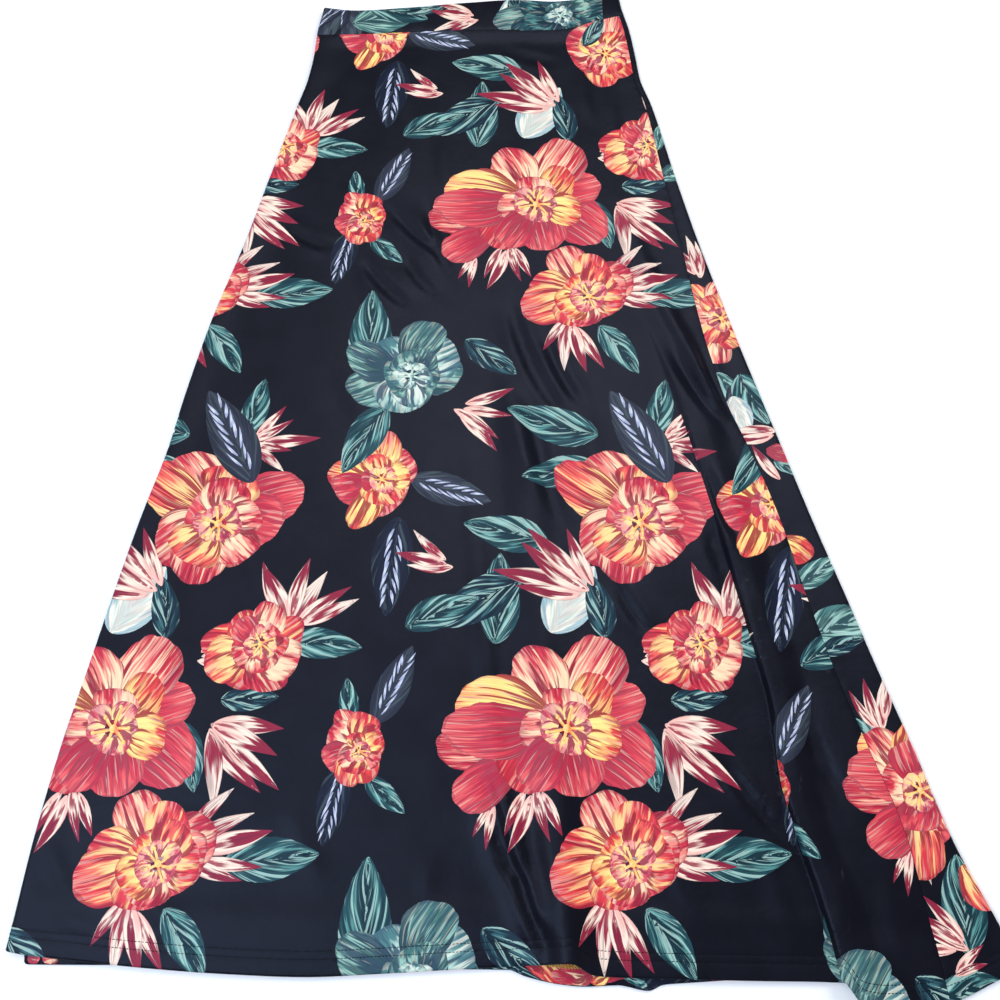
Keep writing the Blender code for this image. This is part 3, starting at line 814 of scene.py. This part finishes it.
def cloth_object(name, panel, strokes, material, tucked=False):
    """A closed cloth wall: a printed outer face, an inner face and the edge between them.

    Inside, only the turned-up hem shows the print, which goes on round the hem's fold.
    """
    cut = np.empty((0, 2))
    if tucked:
        drop = spaced(TUCK_FROM, 1.0, 0.002)
        cut = columns(tuck_line(drop), drop)
        cut = cut[panel.keep(*cut.T, -0.001)]
    laid_shapes = placed(strokes, tucked)
    shapes = [shape for shape in laid_shapes if panel.keep(*shape[1].T, -0.002).any()]
    flat, faces, owner, past = painted_mesh(panel.edge, panel.fill, shapes, panel.keep, cut)

    # Only the points in use are kept, and the inner face starts from the outer one's edge
    kept, faces = np.unique(wind(flat, faces, True), return_inverse=True)
    flat, faces = flat[kept], faces.reshape(-1, 3)
    loop = edge_loop(faces)
    hem_shapes = panel.turned_up(laid_shapes) if panel.has_hem else []
    inner_flat, inner_faces, inner_owner, _ = painted_mesh(
        flat[loop], panel.lining, hem_shapes, panel.keep, cut[:0])
    inner_faces = wind(inner_flat, inner_faces, False)
    base, n = len(flat), len(loop)
    strip = []
    for i in range(n):
        j = (i + 1) % n
        strip += [(loop[j], loop[i], base + i), (loop[j], base + i, base + j)]
    all_flat = np.concatenate([flat, inner_flat])
    all_faces = np.concatenate([faces, np.array(strip), inner_faces + base])
    points = np.concatenate([panel.surface(flat, 0.0), panel.surface(inner_flat, 1.0)])
    mesh = new_mesh(name, to_world(points), all_faces.tolist(), material)

    folded, inner_ground = inner_flat, GROUND
    if panel.has_hem:
        inner_ground = WRONG_SIDE
        folded = columns(inner_flat[:, 0], 2 * panel.lower(inner_flat[:, 0]) - inner_flat[:, 1])
    parts = [paint_corners(printed(*flat[faces.ravel()].T, np.repeat(past, 3)), owner, shapes, GROUND),
             plain_corners(len(strip) * 3, GROUND),
             paint_corners(printed(*folded[inner_faces.ravel()].T), inner_owner, hem_shapes, inner_ground)]
    if panel.has_hem:
        middle = inner_flat[inner_faces].mean(axis=1)
        allowance = panel.lower(middle[:, 0]) - middle[:, 1] < HEM_DEPTH
        parts[2]["root"][np.repeat(allowance & (inner_owner < 0), 3), :3] = GROUND
    for label, width in CORNER_DATA:
        kind, field = ("FLOAT_VECTOR", "vector") if width == 3 else ("FLOAT_COLOR", "color")
        rows = np.concatenate([part[label] for part in parts]).astype(np.float32)
        mesh.attributes.new(label, kind, "CORNER").data.foreach_set(field, rows.ravel())

    # One map in metres for the knit, and one without overlaps, with the inner face small at one side
    corner = all_flat[all_faces.ravel()]
    low, high = extent(flat)
    scale = 0.98 * min(0.76 / (high - low)[0], 1 / (high - low)[1])
    unwrapped = (corner - low) * scale + 0.005
    first_inner = 3 * (len(faces) + len(strip))
    unwrapped[first_inner:] = (corner[first_inner:] - low) * scale * 0.27 + (0.78, 0.005)
    for label, rows in (("cloth", corner), ("OFBake", unwrapped)):
        mesh.uv_layers.new(name=label).data.foreach_set("uv", rows.astype(np.float32).ravel())
    mesh.shade_smooth()
    mesh.set_sharp_from_angle(angle=radians(70))
    return add_object(name, mesh)


# ------------------------------------------------
# The four pieces of cloth: each panel's edge, its points and its two faces.

GRID, LINING_GRID = 0.0045, 0.0080
SHARP_BEND = 22.0                # above this, in 1/m, the lining has the outer face's points
SHARP_CREASE = 0.0017            # from this height on, a crease has lines of points of its own


def rounding(distance, radius):
    """How far a rounded edge falls away from its face, at a distance from the edge."""
    short = np.clip(1 - distance / radius, 0.0, 0.97)
    return radius * (1 - np.sqrt(1 - short ** 2))


def spaced(low, high, step):
    """Evenly spaced values that take in both ends."""
    return np.linspace(low, high, max(2, int(round((high - low) / step)) + 1))


def lattice(low, high, step):
    """Points in staggered rows over a box."""
    rows = []
    for j, y in enumerate(np.arange(low[1], high[1], step * 0.866)):
        x = np.arange(low[0] + (j % 2) * step / 2, high[0], step)
        rows.append(columns(x, np.full_like(x, y)))
    return np.concatenate(rows)


class Panel:
    """A piece of cloth as (s, drop) points between two side lines and an upper and a lower line.

    face gives its outer face, wall its thickness, and trim how far its edges are rounded off.
    """

    def __init__(self, first, last, upper, lower, face, wall, trim, lines, has_hem):
        self.first, self.last, self.upper, self.lower = first, last, upper, lower
        self.face, self.wall, self.trim, self.has_hem = face, wall, trim, has_hem
        a, b = self.corner(first, upper), self.corner(last, upper)
        c, d = self.corner(last, lower), self.corner(first, lower)
        top, right = spaced(a[0], b[0], 0.0015), spaced(b[1], c[1], 0.003)
        bottom, left = spaced(d[0], c[0], 0.0015)[::-1], spaced(a[1], d[1], 0.003)[::-1]
        sides = [(top, upper(top)), (last(right), right), (bottom, lower(bottom)), (first(left), left)]
        self.edge = np.concatenate([columns(*side)[:-1] for side in sides])
        low, high = extent(self.edge)
        self.fill = self.held(np.concatenate([lattice(low, high, GRID)] + lines), 0.0005)
        coarse = [line[::2] for line in lines[::2]]
        bent = self.fill[self.bend(*self.fill.T) > SHARP_BEND]
        self.lining = self.held(np.concatenate([lattice(low, high, LINING_GRID), bent] + coarse), 0.0012)

    @staticmethod
    def corner(side, level):
        """Where a side line meets an upper or lower one."""
        drop = np.array([0.5])
        for _ in range(25):
            drop = level(side(drop))
        return float(side(drop)[0]), float(drop[0])

    def keep(self, s, drop, margin):
        """Which points lie inside by a margin."""
        return ((drop > self.upper(s) + margin) & (drop < self.lower(s) - margin)
                & (s > self.first(drop) + margin) & (s < self.last(drop) - margin))

    def held(self, points, margin):
        return points[self.keep(*points.T, margin)]

    def bend(self, s, drop, reach=0.004):
        """How sharply the face curves at points, either way."""
        middle = self.face(s, drop)[:, 2]
        along = self.face(s + reach, drop)[:, 2] + self.face(s - reach, drop)[:, 2] - 2 * middle
        down = self.face(s, drop + reach)[:, 2] + self.face(s, drop - reach)[:, 2] - 2 * middle
        return np.maximum(np.abs(along), np.abs(down)) / reach ** 2

    def surface(self, flat, share):
        """Points of the outer face (share 0) or of the inner face (share 1)."""
        s, drop = flat[:, 0], flat[:, 1]
        wall, trim = self.wall(s, drop), self.trim(s, drop)
        depth = trim + share * np.maximum(wall - 2 * trim, 0.00005)
        return self.face(s, drop) - face_normals(s, drop, self.face) * depth[:, None]

    def turned_up(self, shapes):
        """The shapes that go on round the hem's fold, cut to the turned-up hem."""
        found = []
        for stroke, outline, _, past in shapes:
            hem = self.lower(outline[:, 0])
            back = 2 * hem - outline[:, 1]
            if past or not ((back > hem - HEM_DEPTH) & (back < hem)).any():
                continue
            back = np.clip(back, hem - HEM_DEPTH + 0.0002, hem - 0.0006)
            if self.keep(outline[:, 0], back, 0.0005).all():
                found.append((stroke, columns(outline[:, 0], back), np.empty((0, 2)), False))
        return found


def under_left(drop):
    """The front's end, at the left seam underneath."""
    return curve(OUTLINE, "left", drop) + (2 - pi) * side_radius("left", drop) - LEFT_SEAM_INSET


def round_right(drop):
    """The back's s on the underside, where across is nothing."""
    r = side_radius("right", drop)
    return 2 * (curve(OUTLINE, "right", drop) - r) + pi * r


def under_right(drop):
    """The back's end, at the same seam, reached round the right side."""
    return round_right(drop) - (curve(OUTLINE, "left", drop) + LEFT_SEAM_INSET + SEAM_GAP)


def under_s(across, drop=0.97):
    """The back's s on the underside, at an across."""
    return float(round_right(np.array([drop]))[0]) - across


def top_seam(drop):
    return curve(OUTLINE, "seam", drop)


def below(s, line, *steps):
    """Copies of a line of points, moved down by steps."""
    return [columns(s, line + step) for step in steps]


def turn_lines(side):
    """Lines of points along a side, all the way round its turn."""
    drop, sign = spaced(-0.05, 1.00, 0.004), 1 if side == "left" else -1
    r = side_radius(side, drop)
    start = curve(OUTLINE, side, drop) + sign * r
    return [columns(start - sign * angle * r, drop) for angle in np.linspace(-0.4, pi, 12)]


def pleat_lines():
    """Lines of points along the pleat, at shares of its half width: close together on the steep flank."""
    drop = spaced(0.34, 1.0, 0.0035)
    steep, gentle = (-1.08, -0.98, -0.88, -0.78, -0.68, -0.56), (-0.3, 0, 0.3, 0.6, 0.9, 1.2, 1.5, 1.8, 2.1)
    return [columns(curve(PLEAT, "across", drop) + share * curve(PLEAT, "half_width", drop), drop)
            for share in steep + gentle]


def crease_lines():
    """Lines of points along the sharper creases."""
    lines = []
    for x0, y0, dx, dy, length, height, half in each_crease():
        if abs(height) < SHARP_CREASE:
            continue
        ux, uy, along = dx / length, dy / length, spaced(0.0, 1.0, 0.005 / length)
        for aside in (-2.2, -1.5, -0.9, -0.4, 0.0, 0.4, 0.9, 1.5, 2.2):
            off = aside * half + BOW * length * np.sin(pi * along)
            lines.append(columns(x0 + along * dx - off * uy, y0 + along * dy + off * ux))
    return lines


def skirt_panel(side, first, last, low, high, extra):
    """The front or the back, with lines of points wherever its face bends."""
    s, drop = spaced(low, high, 0.003), spaced(0.0, 1.0, 0.004)
    lines = turn_lines(side) + extra + crease_lines()
    lines += below(s, hem_at(s, side), -0.0002, -0.0005, -0.0009, -0.0018, -0.0122, -0.0130, -0.0138,
                   -0.0182, -0.0190, -0.0198)
    lines += below(s, waist_at(s, side), 0.0007, 0.0015, 0.0026, 0.0040)
    lines += [columns(top_seam(drop) + aside, drop)
              for aside in (-0.0034, -0.0020, -0.0011, -0.0005, 0.0005, 0.0011, 0.0020, 0.0034)]
    return Panel(first, last, lambda x: waist_at(x, side), lambda x: hem_at(x, side),
                 lambda x, d: outer_face(x, d, side), lambda x, d: wall_at(hem_at(x, side) - d),
                 lambda x, d: rounding(hem_at(x, side) - d, HEM_WALL / 2), lines, True)


def band_z(across, drop):
    """The waistband's upper face: slightly crowned, and drawn in at the waist seam."""
    top, seam = curve(WAIST, "top", across), curve(WAIST, "seam", across)
    crown = 0.0007 * (1 - (2 * (drop - top) / (seam - top) - 1) ** 2)
    ripple = 0.00018 * np.sin(across * 310 + 1.3 * np.sin(across * 47)) + 0.0002 * np.sin(across * 61)
    return BAND_TOP + crown + ripple * (drop - top) / (seam - top) - 0.0008 * np.exp((drop - seam) / 0.0016)


def band_front_face(s, drop):
    return columns(s, -drop, band_z(s, drop))


def band_ends(drop):
    """Where the flattened band's turns begin, left and right."""
    r = BAND_TOP / 2
    return curve(OUTLINE, "left", drop) + r, curve(OUTLINE, "right", drop) - r


def band_back_across(s, drop):
    """The back of the band as a loop: right end, right turn, underneath, left turn, left end."""
    r, (a, b) = BAND_TOP / 2, band_ends(drop)
    right = np.clip((s - b) / r, 0.0, pi)
    under = np.clip(s - b - pi * r, 0.0, b - a)
    left = np.clip((s - b - pi * r - (b - a)) / r, 0.0, pi)
    beyond = np.maximum(s - b - 2 * pi * r - (b - a), 0.0)
    across = np.where(s < b, s, b + r * np.sin(right) - under - r * np.sin(left) + beyond)
    return across, (1 + np.cos(right)) / 2 + (1 - np.cos(left)) / 2


def band_back_face(s, drop):
    across, share = band_back_across(s, drop)
    top = np.where(share > 0.999, band_z(across, drop), share * BAND_TOP)
    return columns(across, -drop, top)


def band_back_end(drop):
    a, b = band_ends(drop)
    return b + pi * BAND_TOP + (b - a) + (BAND_SEAM_LEFT - HALF_GAP - a)


def band_panel(back):
    """The band's front, or its back, which starts at the right seam and goes round to the left one."""
    def level(name):
        def line(s):
            drop = np.full_like(s, -0.02)
            for _ in range(4 if back else 1):
                drop = curve(WAIST, name, band_back_across(s, drop)[0] if back else s)
            return drop
        return line

    top, seam = level("top"), level("seam")
    first = BAND_SEAM_RIGHT + HALF_GAP if back else BAND_SEAM_LEFT + HALF_GAP
    last = band_back_end if back else (lambda d: np.full_like(d, BAND_SEAM_RIGHT - HALF_GAP))
    s = spaced(BAND_SEAM_RIGHT, 0.56, 0.0025) if back else spaced(BAND_SEAM_LEFT, BAND_SEAM_RIGHT, 0.0025)
    lines = below(s, top(s), 0.0003, 0.0007, 0.0012, 0.0020)
    lines += below(s, seam(s), -0.0005, -0.0011, -0.0019, -0.0030)
    if back:
        drop, r = spaced(-0.06, 0.01, 0.002), BAND_TOP / 2
        a, b = band_ends(drop)
        for angle in np.linspace(0, pi, 11):
            lines.append(columns(b + angle * r, drop))
            lines.append(columns(b + pi * r + b - a + angle * r, drop))
    return Panel(lambda d: np.full_like(d, first), last, top, seam,
                 band_back_face if back else band_front_face, lambda x, d: np.full_like(x, BAND_WALL),
                 lambda x, d: rounding(d - top(x), BAND_WALL / 2) + 0.4 * rounding(seam(x) - d, 0.0008),
                 lines, False)


# ------------------------------------------------
# Materials

def join(tree, pairs):
    """Give each socket its value, or link it.  None leaves it as it is, and a colour needs no alpha."""
    for socket, value in pairs:
        if isinstance(value, bpy.types.NodeSocket):
            tree.links.new(value, socket)
        elif value is not None:
            socket.default_value = (*value, 1.0) if socket.type == "RGBA" and len(value) == 3 else value


def node(tree, kind, *inputs, **settings):
    """Add a node; its inputs are values, or sockets to link, in order."""
    made = tree.nodes.new(kind)
    for name, value in settings.items():
        setattr(made, name, value)
    join(tree, zip(made.inputs, inputs))
    return made


def math_node(tree, operation, *inputs):
    return node(tree, "ShaderNodeMath", *inputs, operation=operation).outputs[0]


def noise(tree, place, scale, detail, roughness=0.5):
    return node(tree, "ShaderNodeTexNoise", place, None, scale, detail, roughness).outputs[0]


def grey(tree, value):
    return node(tree, "ShaderNodeCombineXYZ", value, value, value).outputs[0]


def ramp(tree, value, low, high, to_low=0.0, to_high=1.0):
    """A smooth step from one value to another."""
    return node(tree, "ShaderNodeMapRange", value, low, high, to_low, to_high,
                interpolation_type="SMOOTHSTEP").outputs[0]


def blend(tree, share, first, second, how="MIX"):
    """Mix two colours."""
    made = node(tree, "ShaderNodeMix", data_type="RGBA", blend_type=how)
    join(tree, [(made.inputs[0], share), (made.inputs[6], first), (made.inputs[7], second)])
    return made.outputs[2]


def principled(name, **values):
    """A new material, its tree and its shader with values for some sockets."""
    material = bpy.data.materials.new(name)
    material.use_nodes = True
    shader = material.node_tree.nodes["Principled BSDF"]
    for socket, value in values.items():
        shader.inputs[socket.replace("_", " ")].default_value = value
    return material, material.node_tree, shader


def jersey_material():
    """Printed jersey: brushed paint on a near-black ground, a fine knit and a satin sheen."""
    material, tree, shader = principled(
        "printed_jersey_look", Roughness=0.42, Specular_IOR_Level=0.14, Specular_Tint=(0.66, 0.76, 1.0, 1.0),
        Sheen_Weight=0.04, Sheen_Roughness=0.40, Sheen_Tint=(0.55, 0.66, 1.0, 1.0))
    add, subtract, multiply, multiply_add = (
        partial(math_node, tree, kind) for kind in ("ADD", "SUBTRACT", "MULTIPLY", "MULTIPLY_ADD"))
    step, mix = partial(ramp, tree), partial(blend, tree)
    read = {name: node(tree, "ShaderNodeAttribute", attribute_name=name).outputs for name, _ in CORNER_DATA}
    shade = node(tree, "ShaderNodeSeparateXYZ", read["shade"]["Vector"]).outputs
    along, aside = shade[0], shade[1]

    def streaks(*stretch):
        """Noise drawn out along the brush."""
        place = node(tree, "ShaderNodeVectorMath", read["brush"]["Vector"], stretch, operation="MULTIPLY")
        return noise(tree, place.outputs[0], 1.0, 2.0, 0.6)

    broad, flames, hairs = streaks(1.3, 1.1, 1.0), streaks(0.8, 1.3, 1.7), streaks(1.2, 2.8, 1.0)
    root, middle, tip = (read[name]["Color"] for name in ("root", "middle", "tip"))
    strays, painted, flag = (read[name]["Alpha"] for name in ("root", "middle", "tip"))
    petal, pointed = step(flag, 0.6, 0.9), step(flag, 0.1, 0.4)
    spear, plain = subtract(pointed, petal), subtract(1.0, pointed)

    stray = multiply(subtract(broad, 0.5), strays)
    late = multiply(step(aside, 0.35, 1.0, 0.16, -0.04), spear)
    t = multiply_add(stray, 1.9, add(along, late))
    color = mix(step(t, 0.54, 0.74), mix(step(t, 0.22, 0.46), root, middle), tip)
    dark_tip = mix(1.0, tip, (0.46, 0.36, 0.56), "MULTIPLY")
    light_tip = mix(0.50, tip, rgb(244, 228, 206))
    falling = multiply(subtract(0.50, along), 0.28)
    core = multiply_add(subtract(flames, 0.5), 2.0, aside)
    core = multiply(step(core, 0.44, 0.28), step(along, 0.50, 0.32))
    for share, form, strength, over in (
            # Petals: light and dark flames from the root, fine streaks in from the rim, and a dark rim
            (step(subtract(multiply(falling, 0.4), flames), -0.47, -0.41), petal, 0.85, root),
            (step(add(flames, falling), 0.535, 0.595), petal, 0.92, dark_tip),
            (step(subtract(hairs, falling), 0.58, 0.66), petal, 0.65, dark_tip),
            (step(multiply_add(falling, 0.6, hairs), 0.42, 0.34), petal, 0.55, light_tip),
            (step(aside, 0.84, 1.02), petal, 0.55, dark_tip),
            # Pointed petals: a dark flame up the middle from the root, a streaked tip and a dark edge
            (core, spear, 0.90, rgb(142, 36, 58)),
            (multiply(step(hairs, 0.50, 0.60), step(t, 0.50, 0.70)), spear, 0.55, rgb(92, 26, 44)),
            (step(aside, 0.84, 1.0), spear, 0.45, rgb(96, 40, 60)),
            # Leaves and marks: dark and pale brush strokes
            (step(flames, 0.51, 0.57), plain, 0.85, root),
            (multiply(step(flames, 0.455, 0.40), strays), plain, 0.72, rgb(168, 202, 190))):
        color = mix(multiply(multiply(share, form), strength), color, over)

    color = mix(1.0, color, grey(tree, step(hairs, 0.30, 0.70, 0.88, 1.12)), "MULTIPLY")
    cloth = node(tree, "ShaderNodeUVMap", uv_map="cloth").outputs[0]
    mottle = grey(tree, step(noise(tree, cloth, 26.0, 3.0), 0.25, 0.75, 0.82, 1.22))
    tree.links.new(mix(painted, mix(1.0, root, mottle, "MULTIPLY"), color), shader.inputs["Base Color"])

    # Fine knitted columns and rows, and a slight unevenness of the cloth
    place = node(tree, "ShaderNodeSeparateXYZ", cloth).outputs
    wales, rows = (math_node(tree, "SINE", multiply(place[k], 2 * pi / pitch))
                   for k, pitch in enumerate((0.00085, 0.00065)))
    normal = None
    for strength, distance, height in ((0.10, 0.0001, multiply_add(rows, 0.35, wales)),
                                       (0.18, 0.0010, noise(tree, cloth, 160.0, 2.0))):
        bump = node(tree, "ShaderNodeBump", strength, distance)
        join(tree, [(bump.inputs["Height"], height), (bump.inputs["Normal"], normal)])
        normal = bump.outputs[0]
    tree.links.new(normal, shader.inputs["Normal"])
    return material


def mottled(name, roughness, specular, scale, detail, dark, light):
    """A plain material that is slightly uneven in colour."""
    material, tree, shader = principled(name, Roughness=roughness, Specular_IOR_Level=specular)
    place = node(tree, "ShaderNodeTexCoord").outputs["Object"]
    tree.links.new(blend(tree, noise(tree, place, scale, detail), dark, light), shader.inputs["Base Color"])
    return material


def thread_material(name, color):
    return mottled(name, 0.60, 0.2, 420.0, 2.0, *([c * k for c in color] for k in (0.6, 1.5)))


# ------------------------------------------------
# Sewing

STITCH_PITCH, STITCH_LENGTH = 0.0030, 0.0028
STRAY = 0.00008                  # how far a stitch's ends stray from its row


def threads(name, panel, inner, ends, radius, material):
    """Short sewn threads on a panel's outer or inner face, given by their two ends, as one mesh."""
    def face(s, drop):
        flat = columns(s, drop)
        return panel.surface(flat, float(inner)), face_normals(s, drop, panel.face)

    starts, ends = ends
    around, stations = 6, np.linspace(0, 1, 6)
    rise = radius * (0.6 - 2.2 * (2 * stations - 1) ** 4)
    thick = radius * np.array([0.55, 0.95, 1.0, 1.0, 0.95, 0.55])
    along = face(*ends.T)[0] - face(*starts.T)[0]
    direction = along / np.linalg.norm(along, axis=1)[:, None]
    rings = []
    for t, h, r in zip(stations, rise, thick):
        middle, normal = face(*(starts + (ends - starts) * t).T)
        normal = normal * (-1.0 if inner else 1.0)
        side = np.cross(direction, normal)
        side /= np.linalg.norm(side, axis=1)[:, None]
        middle = middle + normal * h
        rings.append(np.stack([middle + r * (cos(a) * side + sin(a) * normal)
                               for a in np.arange(around) * 2 * pi / around], axis=1))
    points = np.stack(rings, axis=1).reshape(-1, 3)
    size = around * len(stations)
    pattern = [(at + i, at + (i + 1) % around, at + around + (i + 1) % around, at + around + i)
               for at in range(0, size - around, around) for i in range(around)]
    pattern += [tuple(reversed(range(around))), tuple(range(size - around, size))]
    faces = [tuple(k * size + v for v in corners) for k in range(len(starts)) for corners in pattern]
    mesh = new_mesh(name, to_world(points), faces, material)
    work = bmesh.new()
    work.from_mesh(mesh)
    bmesh.ops.recalc_face_normals(work, faces=work.faces[:])
    work.to_mesh(mesh)
    work.free()
    mesh.shade_smooth()
    return add_object(name, mesh)


def hem_stitches(panel, low, high):
    """Both rows of stitching along a panel's hem."""
    rng = random.Random(7)
    starts, ends = [], []
    for up in STITCH_ROWS:
        for s in np.arange(low, high - STITCH_LENGTH, STITCH_PITCH):
            for points, at in ((starts, s), (ends, s + STITCH_LENGTH)):
                points.append((at, up + rng.uniform(-STRAY, STRAY)))
    starts, ends = np.array(starts), np.array(ends)
    for points in (starts, ends):
        points[:, 1] = panel.lower(points[:, 0]) - points[:, 1]
    return starts, ends


def overlock(panel, low, high, top=HEM_DEPTH + 0.0006, pitch=0.0030):
    """Zigzag threads over the hem's raw edge, inside."""
    s = np.arange(low, high, pitch)
    up = np.where(np.arange(len(s)) % 2 == 0, top, top - 0.0048)
    points = columns(s, panel.lower(s) - up)
    return points[:-1], points[1:]


# ------------------------------------------------
# The garment

band_low, band_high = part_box("waistband_front")
SHIFT_X = band_low.x - (BAND_SEAM_LEFT + HALF_GAP)
SHIFT_Y = band_high.y + float(curve(WAIST, "top", BAND_SEAM_RIGHT - HALF_GAP))


def at_waist(x, y):
    """The print's place of a height over the waist seam."""
    return x, y + WAIST_AT - float(pulled(x, 0.0))


def front_print():
    """The repeat, with another flower at the waist's right end."""
    def stays(x, y, size):
        return abs(x - REPLACED[0]) + abs(y - REPLACED[1]) > 0.005

    return lay_print((-0.46, -0.13), (0.45, 0.93), wanted=stays) + strokes_of(WAIST_MOTIFS + PEEKING_LEFT, 5)


def back_print():
    """The back's own part beside the seam, and the turned repeat everywhere else."""
    def clear(x, y, size):
        return x > float(curve(OUTLINE, "right", WAIST_AT - y)) + 0.02 + 0.6 * size

    return (lay_print((0.10, -0.13), (1.27, 0.93), radians(25), clear) + strokes_of(STRIP_MOTIFS, 3)
            + strokes_of(PEEKING, 11, lambda across, drop: (under_s(across), WAIST_AT - drop)))


def band_back_print():
    """The repeat beyond the right seam, and the front's left end gone round."""
    return ([stroke for stroke in lay_print((0.17, 0.88), (0.62, 0.98)) if 0.20 < stroke.x < 0.44]
            + strokes_of(BAND_MOTIFS[:2], 5, lambda x, y: at_waist(x + ROUND_THE_BAND, y)))


def build_garment():
    jersey = jersey_material()
    # Navy thread, darker than the cloth: partly its own colour, partly painted shade for the dips that the
    # stitches sit in
    stitch_thread_and_shade = thread_material("stitch_thread_and_painted_shade", rgb(9, 10, 16))
    ochre = thread_material("ochre_thread", rgb(184, 142, 66))

    front_panel = skirt_panel("left", under_left, lambda d: top_seam(d) - HALF_GAP, -0.45, 0.37,
                              pleat_lines())
    back_panel = skirt_panel("right", lambda d: top_seam(d) + HALF_GAP, under_right, 0.12, 1.26, [])
    front = cloth_object("skirt_front_cloth", front_panel, front_print(), jersey, tucked=True)
    back = cloth_object("skirt_back_cloth", back_panel, back_print(), jersey)
    band_print = strokes_of(BAND_MOTIFS, 5, at_waist)
    band_front = cloth_object("waistband_front_cloth", band_panel(False), band_print, jersey)
    band_back = cloth_object("waistband_back_cloth", band_panel(True), band_back_print(), jersey)
    mouth = overlock(back_panel, under_s(0.078), under_s(0.034), top=0.0172, pitch=0.0012)
    sewing = [threads(*row) for row in (
        ("hem_stitches_front", front_panel, False, hem_stitches(front_panel, -0.432, 0.354), 0.00028, stitch_thread_and_shade),
        ("hem_stitches_back", back_panel, False, hem_stitches(back_panel, 0.357, 1.19), 0.00028, stitch_thread_and_shade),
        ("hem_overlock_front", front_panel, True, overlock(front_panel, -0.36, 0.345), 0.00024, ochre),
        ("hem_overlock_back", back_panel, True, mouth, 0.00042, ochre))]
    for piece in (front, back, band_front, band_back, *sewing):
        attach(piece, "root")
    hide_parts("skirt_front")
    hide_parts("skirt_back")
    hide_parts("waistband_front")
    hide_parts("waistband_back")
    return front, back, band_front, band_back


front, back, band_front, band_back = build_garment()


# ------------------------------------------------
# Camera, floor and light

CAMERA_HEIGHT = 0.8866           # above the cloth
CLOTH_LEVEL = 0.003
CAMERA_DOWN = 69.7               # degrees below the horizon
FLOOR_HALF, FLOOR_LEVEL = 6, -0.0006


def lamp(name, at, size, power, color=(1.0, 1.0, 1.0), glossy=True, diffuse=True):
    """A soft square light that faces the middle of the garment."""
    light = bpy.data.lights.new(name, "AREA")
    light.size, light.energy, light.color = size, power, color
    made = add_object(name, light)
    made.location, made.visible_glossy, made.visible_diffuse = at, glossy, diffuse
    made.rotation_euler = (-Vector(at)).to_track_quat("-Z", "Y").to_euler()


def stage():
    camera = add_object("camera", bpy.data.cameras.new("camera"))
    camera.data.sensor_width, camera.data.lens = 36.0, 36.0
    camera.location = (SHIFT_X, SHIFT_Y - WAIST_AT, CAMERA_HEIGHT + CLOTH_LEVEL)
    camera.rotation_euler = (radians(90 - CAMERA_DOWN), 0, 0)
    bpy.context.scene.camera = camera

    corners = [(x * FLOOR_HALF, y * FLOOR_HALF, FLOOR_LEVEL) for x, y in ((-1, -1), (1, -1), (1, 1), (-1, 1))]
    look = mottled("floor_look", 0.75, 0.25, 2.0, 3.0, rgb(238, 238, 240), rgb(246, 246, 246))
    floor = add_object("floor", new_mesh("floor", corners, [(0, 1, 2, 3)], look))

    lamp("key", (1.9, 1.2, 1.5), 1.3, 46, glossy=False)
    lamp("fill", (-1.9, 0.6, 1.8), 2.0, 22)
    lamp("cool", (-0.85, -0.70, 1.7), 1.1, 25, (0.66, 0.78, 1.0))
    lamp("gloss", (0.20, 0.90, 2.0), 1.2, 26, diffuse=False)
    world = bpy.data.worlds.new("studio")
    world.use_nodes = True
    world.cycles_visibility.glossy = False       # the sheen comes from the lamps, so that folds show in it
    background = world.node_tree.nodes["Background"].inputs
    background["Color"].default_value, background["Strength"].default_value = (0.93, 0.96, 1.0, 1.0), 0.55
    bpy.context.scene.world = world
    bpy.context.scene.view_settings.view_transform = "Standard"


stage()
